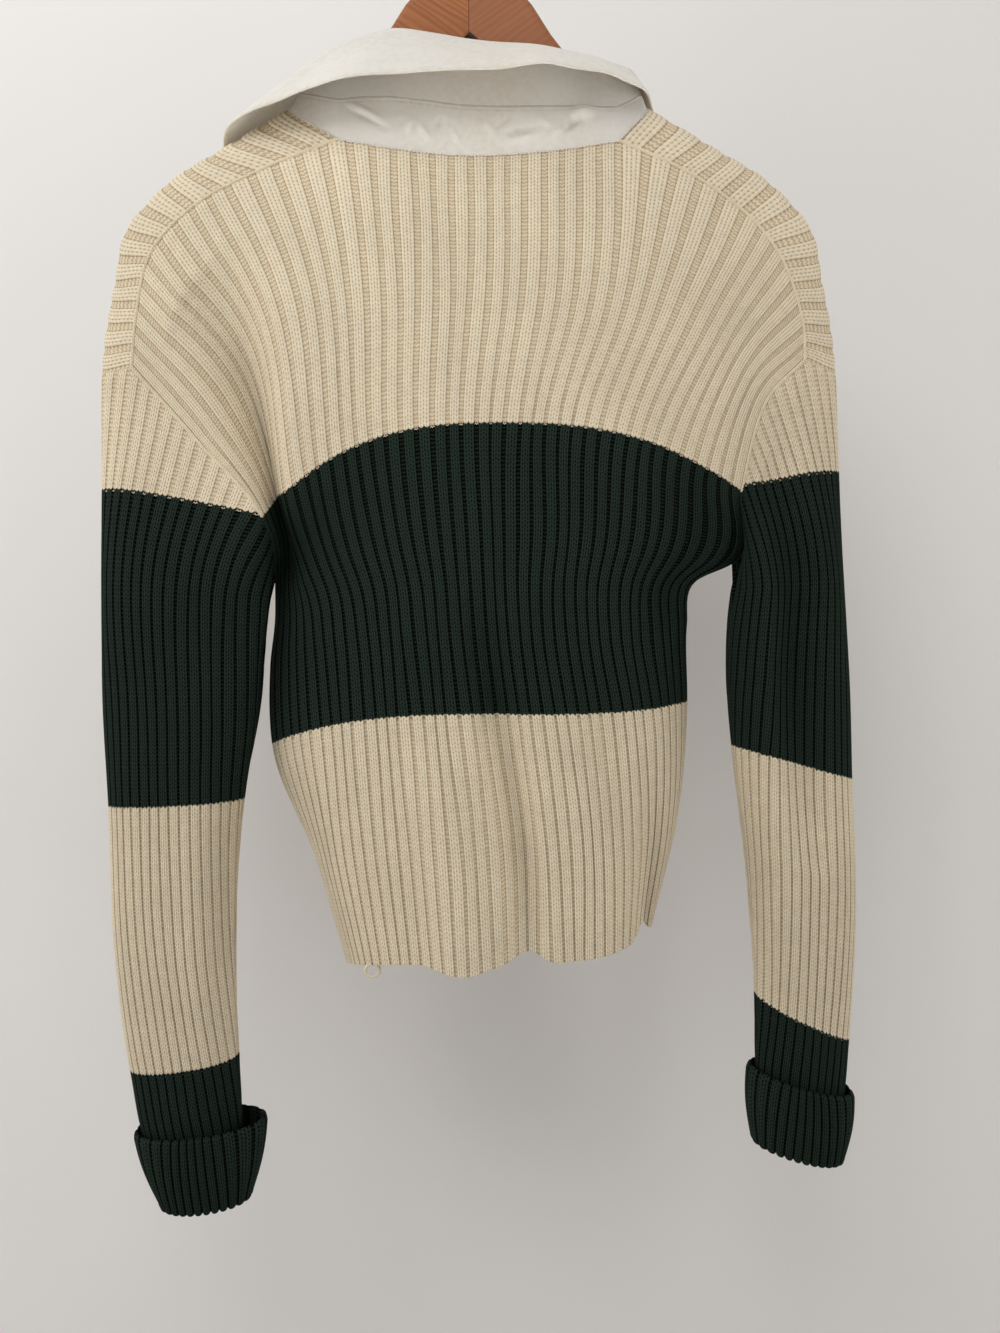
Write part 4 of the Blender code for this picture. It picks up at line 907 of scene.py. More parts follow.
COURSE_OF = {course.name: course.course for course in BACK_COURSES}
body_knit = knit_material("cream and green body knit",
                          [(COURSE_OF["green_foot"], COURSE_OF["green_top"])])
print("material:", body_knit.name)

# %% [markdown]
# ## The back and the front
#
# A knitting machine makes each panel as a flat tube or sheet, with ribs from hem to
# shoulder. Here each panel is one sheet of points. Each rib takes ten columns, so that its
# two wales and the trough beside it are real relief. The relief fades at the sewn edges,
# where the seam pulls the ribs flat.

# %% Ribbed sheets
def groove_pitch(base, per_rib):
    """Rib pitch at each groove, rows by grooves, in millimetres."""
    steps = np.linalg.norm(np.diff(base, axis=1), axis=2)
    spans = steps.reshape(len(base), -1, per_rib).sum(axis=2)
    edges = np.concatenate([spans[:, :1], spans, spans[:, -1:]], axis=1)
    return 0.5 * (edges[:, :-1] + edges[:, 1:])


INNER_STEP = 5              # an inner column for every fifth outer one
PITCH_DRIFT = 0.05          # how unevenly a rib's trough opens, as a share of its pitch
LINE_DRIFT = 0.07           # how far a rib wanders, in ribs
PITCH_WANDER = (14, 1.0)    # rows and ribs over which a trough's opening changes
BODY_WANDER, SLEEVE_WANDER = (22, 14), (20, 14)     # rows and columns over which a rib wanders
SEAM_FADE, SIDE_FADE = 5.0, 0.8         # the relief fades over so many mm, and so many ribs
UNDERARM_FADE, EDGE_HOLD = 4.0, 2.0     # the same on a sleeve, mm; ribs that an edge keeps in line


def knit_walls(surface, normals, relief, columns, v):
    """A knit sheet's outer and inner surface, the inner one's columns, and its cloth map."""
    inner_at = list(range(0, len(columns), INNER_STEP))
    outer = surface + relief[:, :, None] * normals
    inner = (surface - KNIT_WALL * normals)[:, inner_at]
    uv = np.stack(np.broadcast_arrays(rib_phases(columns)[None, :], v), axis=2)
    return outer, inner, inner_at, uv


def body_fade(places, rows):
    """How much of the relief is left near the shoulder's and the sides' seams."""
    top = ease((TOP_COURSE - rows) / SEAM_FADE)[:, None]
    sides = ease(np.minimum(places, BODY_RIBS - places) / SIDE_FADE)
    return top * sides


def front_cells(rows, inner_ribs):
    """Which cells of the front hold cloth: not those of the neck or the placket's slot."""
    course, rib = rows[:-1, None], inner_ribs[None, :-1]
    in_neck = (course >= OVER_COURSES[0]) & (rib >= NECK_RIBS[0]) & (rib < NECK_RIBS[1])
    in_slot = (course >= SLOT_FOOT) & (rib >= SLOT_RIBS[0]) & (rib < SLOT_RIBS[1])
    return ~(in_neck | in_slot)


def panel_piece(name, node, base, out, rows, cells=None):
    """A panel of the body, ribbed over its base surface."""
    columns = rib_columns(BODY_RIBS)
    pitch = groove_pitch(base, BASE_PER_RIB)
    pitch = pitch * (1 + PITCH_DRIFT * drifting(*pitch.shape, *PITCH_WANDER, BODY_RIBS + len(rows)))
    places = rib_places(columns, pitch)
    inside = ease(np.minimum(places, BODY_RIBS - places) / EDGE_HOLD)
    places = places + inside * LINE_DRIFT * drifting(*places.shape, *BODY_WANDER, len(rows))
    surface = blend_columns(base, BASE_PER_RIB, places)
    normals = unit(blend_columns(out, BASE_PER_RIB, places))
    relief = rib_relief(columns, pitch) * body_fade(places, rows)
    walls = knit_walls(surface, normals, relief, columns, rows[:, None] / COURSE_PITCH)
    if cells is not None:
        cells = cells(rows, np.array(walls[2]) / COLUMNS_PER_RIB)
    return shell_piece(name, node, "rib_knit", body_knit, *walls, cells=cells)


back_piece = panel_piece("back_panel", "back", back_base, back_out, BACK_ROWS)
front_piece = panel_piece("front_panel", "front", front_base, front_out, FRONT_ROWS, front_cells)

# %% [markdown]
# ## Sleeves
#
# Each sleeve is a ribbed tube that narrows towards the wrist. Its ribs run straight from
# the shoulder. As the tube narrows, the ribs nearest the underarm run out into the seam
# there, two at a time. Hanging empty, the tube lies nearly flat, with soft vertical folds.

# %% Tables of the sleeves
Ring = namedtuple(
    "Ring", "name drop inner_x inner_y inner_z outer_x outer_y outer_z back front lap ribs"
)
SLEEVE_RINGS = {
    "left": [
        Ring("under", 150, -132, 2, -491, -238.5, -2, -484, 36, 14, 12, 36),
        Ring("elbow", 215, -135, -10, -553, -238.5, -2, -553, 26, 19, 4, 35),
        Ring("green_foot", 282, -146, -10, -616, -234, -4, -621, 24, 21, 0, 33),
        Ring("forearm", 385, -152, -8, -717, -229, -6, -717, 22, 20, 0, 31),
        Ring("cuff_green", 456, -150, -8, -782, -218.5, -8, -791, 19, 18, 0, 29),
        Ring("wrist", 512, -147, -8, -838, -205, -8, -846, 17, 16, 0, 27),
        Ring("end", 535, -146, -8, -857, -195, -8, -862, 14.5, 14, 0, 26),
    ],
    "right": [
        Ring("under", 150, 172.5, -4, -481, 244.5, 0, -478, 32, 26, 0, 36),
        Ring("elbow", 205, 169.0, -6, -535, 248.5, 0, -545, 30, 29, 0, 35),
        Ring("green_foot", 260, 172.5, -6, -582, 250.0, 0, -604, 29, 28, 0, 33),
        Ring("forearm", 345, 182.3, -5, -665, 252.0, -2, -684, 26, 26, 0, 31),
        Ring("cuff_green", 425, 187.5, -5, -744, 247.0, -4, -772, 22, 22, 0, 29),
        Ring("wrist", 476, 188.5, -5, -800, 243.0, -5, -812, 19, 19, 0, 27),
        Ring("end", 500, 190.0, -5, -822, 239.0, -5, -834, 16, 16, 0, 26),
    ],
}
LAP_TURN = 80
SLEEVE_FOLDS = {
    "left": [
        Fold("outer dent", 20.0, 21.0, 3.5, -3, 0, 120, 330),
        Fold("forearm roll", 4.5, 3.5, 3.0, 3, 0, 250, 480),
    ],
    "right": [
        Fold("deep vertical fold", 7.0, 7.5, 3.2, -15, 0, 30, 330),
        Fold("elbow crease", 4.0, 5.0, 3.0, 4, 0, 260, 460),
    ],
}
FOLD_RIBS = 30              # the folds' tables count this many ribs round a sleeve
UPPER_BORDER, PAST_END = 90, 2000       # courses of the first colour border, and past the end
BORDER_RISE = {"left": (55, 68), "right": (64, 74)}   # over the first ring, inner and outer
SLEEVE_COLUMNS, HEAD_ROWS = 144, 46
SLEEVE_SPACING = 3.6        # between the other rows, mm
WELD = 0.02                 # points nearer than this are joined where a tube closes, mm
SLEEVE_RIBS = max(ring.ribs for ring in SLEEVE_RINGS["left"])
print("ribs round each sleeve's top:", SLEEVE_RIBS)


# %% A sleeve's surface
def ring_line(ring, steps=360):
    """A sleeve's flattened ring, from its inner end over the back and round."""
    turn = np.linspace(0, 2 * pi, 2 * steps + 1)
    share = (0.5 - 0.5 * np.cos(turn))[:, None]
    inner = np.array([ring.inner_x, ring.inner_y, ring.inner_z], float)
    outer = np.array([ring.outer_x, ring.outer_y, ring.outer_z], float)
    line = inner + (outer - inner) * share
    line[:, 1] -= np.where(turn <= pi, ring.back, ring.front) * np.sin(turn)
    lap = np.sin(pi * np.clip(turn / radians(LAP_TURN), 0, 1)) ** 2
    line[:, 0] -= np.sign(ring.inner_x) * ring.lap * lap
    return line


def halves_at(line, middle, columns):
    """Lengths along a closed line for columns spaced evenly on each of its halves."""
    length = lengths_along(line)
    first = np.linspace(0, length[middle], columns // 2 + 1)
    second = np.linspace(length[middle], length[-1], columns // 2 + 1)
    return np.concatenate([first, second[1:]])


def armhole_line(column):
    """The body's edge round an armhole, from the armpit up the back and down the front."""
    up = back_base[BACK_ROWS >= ARMPIT_COURSE, column]
    down = front_base[FRONT_ROWS >= ARMPIT_COURSE, column][::-1]
    line = np.concatenate([up, down[1:]])
    over = (FRONT_ROWS[FRONT_ROWS >= ARMPIT_COURSE][::-1][1:] >= OVER_COURSES[2]).sum()
    return line, len(up) - 1 + over


def sleeve_surface(side, column):
    """Rows of a sleeve's tube, and the course coordinate of each of its points."""
    rings = SLEEVE_RINGS[side]
    line, tip = armhole_line(column)
    knots = [read_line(line, line, halves_at(line, tip, SLEEVE_COLUMNS))]
    for ring in rings:
        loop = ring_line(ring)
        knots.append(read_line(loop, loop, halves_at(loop, len(loop) // 2, SLEEVE_COLUMNS)))
    knots = np.array(knots)
    drops = np.array([0.0] + [ring.drop for ring in rings])
    head = [(0, share) for share in np.linspace(0, 1, HEAD_ROWS)[:-1]]
    steps = np.round(np.diff(drops) / SLEEVE_SPACING).astype(int)
    rest = [(ring, share) for ring in range(1, len(rings))
            for share in np.linspace(0, 1, 1 + steps[ring])[:-1]]
    rows = head + rest + [(len(rings) - 1, 1.0)]
    drop_of_row = np.array([drops[r] + share * (drops[r + 1] - drops[r]) for r, share in rows])
    grid = np.empty((len(rows), SLEEVE_COLUMNS + 1, 3))
    course = np.repeat(-drop_of_row[:, None], SLEEVE_COLUMNS + 1, axis=1)
    inner_rise, outer_rise = BORDER_RISE[side]
    for k in range(SLEEVE_COLUMNS + 1):
        length = lengths_along(knots[:, k])
        at = [length[r] + share * (length[r + 1] - length[r]) for r, share in rows]
        grid[:, k] = smooth(length, knots[:, k], at)
        share = 0.5 - 0.5 * cos(2 * pi * k / SLEEVE_COLUMNS)
        rise = inner_rise + (outer_rise - inner_rise) * share
        above = length[1] - np.array(at[:len(head)])
        course[:len(head), k] = -rings[0].drop + above * (rings[0].drop - UPPER_BORDER) / rise
    ribs = np.arange(SLEEVE_COLUMNS + 1) * FOLD_RIBS / SLEEVE_COLUMNS
    out, _ = fold_shift(SLEEVE_FOLDS[side], ribs, drop_of_row)
    on_back = np.arange(SLEEVE_COLUMNS + 1) <= SLEEVE_COLUMNS // 2
    grid[:, :, 1] += np.where(on_back, -out, out)
    return grid, course, drop_of_row


# %% Ribs on a tube
def tube_normals(grid):
    """Unit normals of a closed tube, turned away from its middle."""
    normals = surface_normals(grid, closed=True)
    away = np.einsum("rci,rci->rc", normals, grid - grid.mean(axis=1, keepdims=True))
    return normals * (1 if away.mean() > 0 else -1)


def read_rows(values, lengths, at):
    """Each row's values, given at lengths, read at other lengths."""
    result = np.empty(at.shape + values.shape[2:])
    for row in range(len(at)):
        for axis in range(values.shape[2]):
            result[row, :, axis] = np.interp(at[row], lengths[row], values[row, :, axis])
    return result


def ribbed_tube(grid, course, rib_count, ribs):
    """Surface, normals, relief, columns and courses of a tube ribbed from its outer line.

    rib_count gives each row's number of ribs; those past the underarm line run out there.
    """
    normals = tube_normals(grid)
    steps = np.linalg.norm(np.diff(grid, axis=1), axis=2)
    lengths = np.concatenate([np.zeros((len(grid), 1)), np.cumsum(steps, axis=1)], axis=1)
    around = lengths[:, -1:]
    middle = lengths[:, [(grid.shape[1] - 1) // 2]]
    columns = rib_columns(ribs)
    even = around / rib_count[:, None]
    pitch = even * (1 + PITCH_DRIFT * drifting(len(grid), ribs + 1, *PITCH_WANDER, ribs))
    places = rib_places(columns, pitch)
    places = places + LINE_DRIFT * drifting(*places.shape, *SLEEVE_WANDER, len(grid))
    at = middle + (places - ribs / 2) * even
    held = np.clip(at, 0, around)
    packed = np.concatenate([grid, normals, course[:, :, None]], axis=2)
    packed = read_rows(packed, lengths, held)
    surface, normals, course = packed[:, :, :3], unit(packed[:, :, 3:6]), packed[:, :, 6]
    edge = ease(np.minimum(held, around - held) / UNDERARM_FADE)
    return surface, normals, rib_relief(columns, pitch) * edge, columns, course


# %% The two sleeves
def sleeve_piece(side, column):
    """A sleeve's piece, and its end's line and normals, from which the cuff grows."""
    rings = SLEEVE_RINGS[side]
    drop_of = {ring.name: ring.drop for ring in rings}
    knit = knit_material(f"{side} sleeve knit", [
        (-drop_of["green_foot"], -UPPER_BORDER), (-PAST_END, -drop_of["cuff_green"]),
    ], groove=SLEEVE_GROOVE_SHADE)
    grid, course, drops = sleeve_surface(side, column)
    count = np.interp(drops, [ring.drop for ring in rings], [ring.ribs for ring in rings])
    surface, normals, relief, columns, course = ribbed_tube(grid, course, count, SLEEVE_RIBS)
    depth = lengths_along(surface[:, surface.shape[1] // 2])
    relief *= ease(depth / SEAM_FADE)[:, None]
    walls = knit_walls(surface, normals, relief, columns, course / COURSE_PITCH)
    piece = shell_piece(f"{side}_sleeve", f"sleeve_{side}", "rib_knit", knit, *walls, weld=WELD)
    return piece, surface[-1], normals[-1]


sleeve_left, *left_end = sleeve_piece("left", 0)
sleeve_right, *right_end = sleeve_piece("right", -1)

# %% [markdown]
# ## Cuffs
#
# A cuff is the sleeve's own rib, knitted on in green and turned back over itself. Its ribs
# are relaxed, so they stand round and close together. The turned-back layer flares a
# little, and its cast-off edge ripples with the ribs. The stitches are upside down there.

# %% Tables of the cuffs
CUFF_RIBS, CUFF_CREST = 26, 1.45
CuffRim = namedtuple("CuffRim", "x y z half_x half_y tilt")
CUFF_RIMS = {
    "left": CuffRim(-174.0, -8, -826, 42.0, 25, 4),
    "right": CuffRim(216.0, -6, -797, 33.0, 25, 8),
}
CUFF_LAYER_GAP, CUFF_INSIDE, CUFF_BULGE, SEAM_GAP = 2.6, 14, 2.0, 0.3
CAST_OFF, CAST_OFF_NEXT, CAST_OFF_INSIDE = 1.3, 0.45, 0.7   # how far the last rows draw in, mm
CUFF_ROWS, CUFF_BEND_STEP = 25, 12      # rows of the turned-back layer, degrees in its bend
CUFF_RUN_COLUMN = 65        # the stitches' rows are counted along this column


def cuff_rows(rim, base, out):
    """The cuff's rows: sewn inside, down, round the bend and up to the rim."""
    flat = unit(out * (1, 1, 0))
    down = np.array([0, 0, -1.0])
    bend = 0.5 * CUFF_LAYER_GAP + KNIT_WALL
    middle = base + flat * 0.5 * CUFF_LAYER_GAP + down * CUFF_INSIDE
    rows = [(base - KNIT_WALL * out + down * SEAM_GAP / 2, -out)]
    for turn in range(180, 361, CUFF_BEND_STEP):
        facing = cos(radians(turn)) * flat - sin(radians(turn)) * down
        rows.append((middle + bend * facing, facing))
    angle = np.arctan2(flat[:, 1], flat[:, 0])
    lean = -np.sign(rim.x) * np.cos(angle)
    top = np.stack([
        rim.x + rim.half_x * np.cos(angle),
        rim.y + rim.half_y * np.sin(angle),
        rim.z + rim.tilt * lean,
    ], axis=1)
    foot = rows[-1][0]
    for share in np.linspace(0, 1, CUFF_ROWS)[1:]:
        rows.append((foot + (top - foot) * share + CUFF_BULGE * sin(pi * share) * flat, flat))
    return np.array([row[0] for row in rows]), np.array([row[1] for row in rows])


# %% The two cuffs
def cuff_piece(side, end, end_out):
    columns = rib_columns(CUFF_RIBS)
    length = lengths_along(end)[-1]
    pitch = np.full((1, CUFF_RIBS + 1), length / CUFF_RIBS)
    base, out = line_at(end, end_out, rib_places(columns, pitch)[0] * length / CUFF_RIBS)
    base[-1], out[-1] = base[0], out[0]
    grid, facing = cuff_rows(CUFF_RIMS[side], base, out)
    relief = rib_relief(columns, groove_pitch(grid, COLUMNS_PER_RIB), CUFF_CREST, relaxed=True)
    relief[0] = 0
    relief[-1] -= CAST_OFF
    relief[-2] -= CAST_OFF_NEXT
    run = lengths_along(grid[:, CUFF_RUN_COLUMN])
    outer, inner, inner_at, uv = knit_walls(grid, facing, relief, columns,
                                            -run[:, None] / COURSE_PITCH)
    inner[-1] += CAST_OFF_INSIDE * facing[-1][inner_at]
    return shell_piece(f"{side}_cuff", f"cuff_{side}", "cuff_knit", cuff_knit, outer, inner,
                       inner_at, uv, weld=WELD)


cuff_knit = knit_material("green cuff knit", [(-2 * PAST_END, 2 * PAST_END)], relief=CUFF_RELIEF)
cuff_left = cuff_piece("left", *left_end)
cuff_right = cuff_piece("right", *right_end)

# %% [markdown]
# ## Woven collar
#
# The collar is cut from two layers of white cotton twill. Its stand is sewn to the knit
# neck, and the leaf is sewn to the stand's top and rolls over outwards. Worn and washed, it
# has soft ripples, a few hard creases, and a firm double edge where it was turned and
# stitched. Both are grids of points between measured lines, with the creases added one by one.

# %% Tables of the collar
STAND_SHARE = 0.42
WOVEN_WALL = 1.6
CollarStation = namedtuple(
    "CollarStation", "name along roll_x roll_y roll_z edge_x edge_y edge_z"
)
COLLAR_STATIONS = [
    CollarStation("front end left", 0.00, -36, 52, -222, -80, 52, -300),
    CollarStation("chest left", 0.13, -84, 42, -176, -150, 38, -256),
    CollarStation("ridge left", 0.25, -106, 6, -139, -163, 4, -190),
    CollarStation("neck point left", 0.346, -84, -9, -128, -136, -27, -179),
    CollarStation("back left", 0.40, -54, -14, -121, -84, -47, -173),
    CollarStation("back", 0.50, 2, -17, -129, 4, -53, -169),
    CollarStation("back right", 0.60, 62, -15, -134, 66, -48, -164),
    CollarStation("neck point right", 0.663, 94, -7, -138, 104, -28, -163),
    CollarStation("ridge right", 0.745, 110, 7, -139, 121, 2, -160),
    CollarStation("chest right", 0.88, 92, 42, -180, 142, 38, -236),
    CollarStation("front end right", 1.00, 50, 52, -222, 94, 52, -294),
]
FOOT_TUCK = 1.6             # how far the stand's foot reaches under the knit's edge, mm
COLLAR_COLUMNS, STAND_ROWS, LEAF_ROWS = 420, 24, 40
ROLL_INSIDE, ROLL_OUTSIDE, LEAF_BOW = 0.22, 0.20, 0.03  # shares of the leaf's rise and fall
LEAF_KNOTS = (0.0, 0.40, 0.5, 0.60, 1.0)
FREE_EDGE = 0.55            # how thick a woven sheet is at its last row, as a share
LEAF_FOOT_LIFT = 0.25       # how far the leaf's foot starts above the stand's top, mm


def neck_line():
    """The knit's edge round the neck, from the slot to the slot by way of the back."""
    low, high = (BASE_PER_RIB * rib for rib in NECK_RIBS)
    first, last = (int(BASE_PER_RIB * rib) for rib in BACK_CORNERS)
    slot_left, slot_right = (BASE_PER_RIB * rib for rib in SLOT_RIBS)
    level = int(np.argmin(np.abs(FRONT_ROWS - OVER_COURSES[0])))
    return np.concatenate([
        front_base[level, slot_left:low:-1],
        front_base[level:-1, low],
        back_base[-1, first:last + 1],
        front_base[-2:level:-1, high],
        front_base[level, high:slot_right - 1:-1],
    ])


def station_curve(field, at):
    """The collar's roll or edge at the given shares of the way round the neck."""
    places = [station.along for station in COLLAR_STATIONS]
    points = [[getattr(station, f"{field}_{axis}") for axis in "xyz"]
              for station in COLLAR_STATIONS]
    return smooth(places, points, at)


def collar_surfaces():
    """Middle surfaces of the stand and the leaf, and lengths along the neck."""
    line = neck_line()
    length = lengths_along(line)
    at = np.linspace(0, 1, COLLAR_COLUMNS + 1)
    foot = read_line(line, line, at * length[-1])
    roll, free = station_curve("roll", at), station_curve("edge", at)
    top = foot + (roll - foot) * STAND_SHARE
    stand = np.array([foot + (top - foot) * share for share in np.linspace(0, 1, STAND_ROWS)])
    inward, outer = unit(top - roll), unit(free - roll)
    rise = np.linalg.norm(roll - top, axis=1, keepdims=True)
    fall = np.linalg.norm(free - roll, axis=1, keepdims=True)
    bow = unit(unit(roll - foot) - outer)
    lines = [top, roll + inward * ROLL_INSIDE * rise, roll,
             roll + outer * ROLL_OUTSIDE * fall + bow * LEAF_BOW * fall, free]
    leaf = smooth(LEAF_KNOTS, np.array(lines), np.linspace(0, 1, LEAF_ROWS))
    return stand, leaf, at * length[-1]


stand_grid, leaf_grid, neck_length = collar_surfaces()
print("neck edge:", round(neck_length[-1]), "mm")

# %% Ripples and creases of the collar
# along and across are shares of the sheet. turn is the crease's angle from its length.
Crease = namedtuple("Crease", "name along across length width turn depth")
STAND_CREASES = [
    Crease("diagonal crease", 0.378, 0.66, 0.032, 0.11, -30, 2.4),
    Crease("diagonal furrow", 0.384, 0.50, 0.032, 0.12, -30, -1.9),
    Crease("wrinkle a", 0.430, 0.45, 0.015, 0.11, 60, 1.4),
    Crease("wrinkle b", 0.445, 0.35, 0.017, 0.10, -55, 1.6),
    Crease("wrinkle c", 0.462, 0.55, 0.014, 0.09, 70, -1.3),
    Crease("wrinkle d", 0.480, 0.32, 0.016, 0.09, -60, 1.3),
    Crease("wrinkle e", 0.518, 0.52, 0.015, 0.10, -65, 1.4),
    Crease("wrinkle f", 0.533, 0.64, 0.014, 0.08, 50, -1.3),
    Crease("smile dent", 0.556, 0.42, 0.024, 0.14, 8, -2.7),
    Crease("dent's lip", 0.556, 0.26, 0.030, 0.12, 8, 1.6),
    Crease("wrinkle g", 0.578, 0.62, 0.016, 0.10, -50, 1.4),
    Crease("wrinkle h", 0.592, 0.36, 0.015, 0.10, 55, 1.3),
    Crease("buckle", 0.622, 0.82, 0.020, 0.34, 60, 2.8),
    Crease("buckle's foot", 0.612, 0.55, 0.022, 0.18, 40, -2.9),
    Crease("front ripple left", 0.2, 0.5, 0.014, 0.8, 80, 0.6),
    Crease("front ripple right", 0.8, 0.5, 0.016, 0.8, 100, 0.6),
]
LEAF_RIPPLES = [            # place along the leaf, half width and depth
    (0.365, 0.010, 0.9), (0.41, 0.014, -0.7), (0.445, 0.010, 0.5), (0.485, 0.016, -0.6),
    (0.525, 0.011, 0.5), (0.563, 0.013, -0.8), (0.60, 0.012, 0.9), (0.635, 0.010, -0.8),
    (0.22, 0.020, 1.2), (0.16, 0.015, -0.8), (0.76, 0.018, 1.0), (0.85, 0.016, -0.9),
]


def creased(grid, normals, creases):
    """A grid with creases pressed into it or out of it."""
    rows, columns = grid.shape[:2]
    along = np.linspace(0, 1, columns)[None, :]
    across = np.linspace(0, 1, rows)[:, None]
    aspect = lengths_along(grid[:, columns // 2])[-1] / lengths_along(grid[0])[-1]
    push = np.zeros((rows, columns))
    for crease in creases:
        du, dv = along - crease.along, (across - crease.across) * aspect
        c, s = cos(radians(crease.turn)), sin(radians(crease.turn))
        run, off = du * c + dv * s, -du * s + dv * c
        push += crease.depth * hump(run / crease.length) * hump(off / (crease.width * aspect))
    return grid + push[:, :, None] * normals


def rippled(grid, normals, ripples):
    """A grid with soft ripples that grow towards its free edge."""
    along = np.linspace(0, 1, grid.shape[1])[None, :]
    grown = np.linspace(0, 1, grid.shape[0])[:, None] ** 1.5
    push = sum(depth * hump((along - place) / (2 * width)) for place, width, depth in ripples)
    return grid + (push * grown)[:, :, None] * normals


# %% Twill with stitched edges
TWILL_PITCH, STITCH_INSET, STITCH_PITCH, PUCKER_PITCH = 0.55, 3.6, 2.7, 5.3     # mm
DEEP_WHITE = (0.86, 0.83, 0.78)         # a fold's shade of white, as a share of each colour


def woven_group():
    """Twill with a welt and a row of topstitches along the edge where v is 0. In mm."""
    tree, g, given, filled = new_group(
        "cotton twill", [("Place", VECTOR, None)], [("Height", FLOAT), ("Tint", FLOAT)])
    along, off, _ = g.parts(given["Place"])
    from_edge = g.math("ABSOLUTE", off)
    lines = g.math("SINE", g.times(g.plus(along, off), 2 * pi / TWILL_PITCH))
    ply = g.noise(g.stretched(given["Place"], (0.9, 5.0, 1)), 1.0, 3.0)
    row = g.soft_step(g.gap(from_edge, STITCH_INSET), 0.55, 0.2)
    dash = g.math("SINE", g.times(along, 2 * pi / STITCH_PITCH))
    thread = g.times(row, g.soft_step(dash, -0.35, 0.1))
    welt = g.soft_step(from_edge, 1.5, 2.6, 1.0, 0.0)
    pucker = g.times(g.math("SINE", g.times(along, 2 * pi / PUCKER_PITCH)),
                     g.soft_step(from_edge, 6.0, 2.0))
    height = g.plus(g.times(lines, 0.06), g.times(ply, 0.5))
    for part, weight in ((pucker, 0.25), (welt, 0.9), (row, -0.5), (thread, 0.8)):
        height = g.plus(height, g.times(part, weight))
    # painted shade darkens the twill along the stitched furrow and at the turned edge; the ply noise is
    # the cloth's own uneven tone
    tint = g.soft_step(ply, 0.25, 0.75, 0.965, 1.0)
    tint = g.times(tint, g.soft_step(row, 0.0, 1.0, 1.0, 0.93))
    tint = g.times(tint, g.soft_step(from_edge, 0.7, 1.8, 0.90, 1.0))
    g.give(filled, Height=height, Tint=tint)
    return tree


WOVEN = woven_group()


def woven_material(name, colour):
    material, shader = new_material(name, 0.85, 0.2)
    g = Graph(material.node_tree)
    cloth = g.group(WOVEN, Place=g.cloth_place())
    worn = g.group(WORN, Place=g.room_place())
    tint = g.times(cloth["Tint"], worn["Mottle"])
    # the white in painted shade, reached where the tint is low
    deep = tuple(c * share for c, share in zip(colour, DEEP_WHITE))
    g.feed(shader.inputs["Base Color"], g.mix(g.soft_step(tint, 0.82, 1.02), deep, colour))
    shader.inputs["Subsurface Weight"].default_value = 0.6
    shader.inputs["Subsurface Radius"].default_value = (1.0, 0.92, 0.82)
    shader.inputs["Subsurface Scale"].default_value = 0.0045
    g.bump(shader, g.plus(cloth["Height"], g.times(worn["Fuzz"], 0.12)), 0.0004)
    return material


# The leaf and the stand are one white twill: the leaf's colour is painted darker as painted shade, and
# the stand's lighter as painted light where the leaf shades it.
leaf_twill_painted_shade = woven_material("white twill of the leaf", (0.76, 0.735, 0.685))
stand_twill_painted_light = woven_material("white twill of the stand", (0.80, 0.765, 0.705))
white_bands = woven_material("white twill of the placket", (0.78, 0.745, 0.68))
print("group:", WOVEN.name)

# %% The collar's stand and leaf
def woven_piece(name, node, grid, material):
    """A two-layer woven sheet on its middle surface. v runs in mm from its last row."""
    half = 0.5 * WOVEN_WALL * surface_normals(grid)
    half[-1] *= FREE_EDGE
    across = np.stack([lengths_along(grid[:, k]) for k in range(grid.shape[1])], axis=1)
    uv = np.stack(np.broadcast_arrays(lengths_along(grid[-1])[None, :], across[-1] - across),
                  axis=2)
    return shell_piece(name, node, "woven_white", material, grid + half, grid - half,
                       list(range(grid.shape[1])), uv, angle=50)


stand_grid[0] -= FOOT_TUCK * unit(stand_grid[1] - stand_grid[0])
stand_grid = creased(stand_grid, surface_normals(stand_grid), STAND_CREASES)
leaf_grid = rippled(leaf_grid, surface_normals(leaf_grid), LEAF_RIPPLES)
leaf_grid[0] += LEAF_FOOT_LIFT * unit(leaf_grid[1] - leaf_grid[0])
stand_piece = woven_piece("neck_stand", "collar_stand", stand_grid, stand_twill_painted_light)
leaf_piece = woven_piece("neck_leaf", "collar_leaf", leaf_grid, leaf_twill_painted_shade)

# %% [markdown]
# ## Placket and buttons
#
# The front opens in a slot that two woven bands close. Each band is a folded strip: one
# long edge is sewn over the slot's edge and the other is free. The upper band lies over the
# lower one, which carries three plain buttons. A button is turned from a disc, dished, and
# drilled with four holes; two bars of thread hold it.

# %% Placket bands
Band = namedtuple("Band", "name side sewn free lift_sewn lift_free reach")
BANDS = [
    Band("placket_over", -1, 3, 20, 2.3, 5.4, 14),
    Band("placket_under", 1, 3, 13, 2.3, -0.2, -1.5),
]
BAND_ROWS, BAND_COLUMNS, BAND_TOP = 60, 9, 1.5


def band_grid(band):
    """A band's middle surface: rows from sewn to free edge, columns down the slot."""
    column = BASE_PER_RIB * SLOT_RIBS[0 if band.side < 0 else 1]
    chosen = np.nonzero((FRONT_ROWS >= SLOT_FOOT) & (FRONT_ROWS <= OVER_COURSES[0]))[0][::-1]
    line, out = front_base[chosen, column], front_out[chosen, column]
    line[0] += BAND_TOP * unit(line[1] - line[0])
    line[-1] += band.reach * unit(line[-1] - line[-2])
    at = np.linspace(0, lengths_along(line)[-1], BAND_ROWS)
    edge, normal = line_at(line, out, at)
    inward = unit(np.array([-band.side, 0, 0]) + band.side * normal * normal[:, :1])
    sewn = edge - inward * band.sewn + normal * band.lift_sewn
    free = edge + inward * band.free + normal * band.lift_free
    return sewn + (free - sewn) * np.linspace(0, 1, BAND_COLUMNS)[:, None, None]


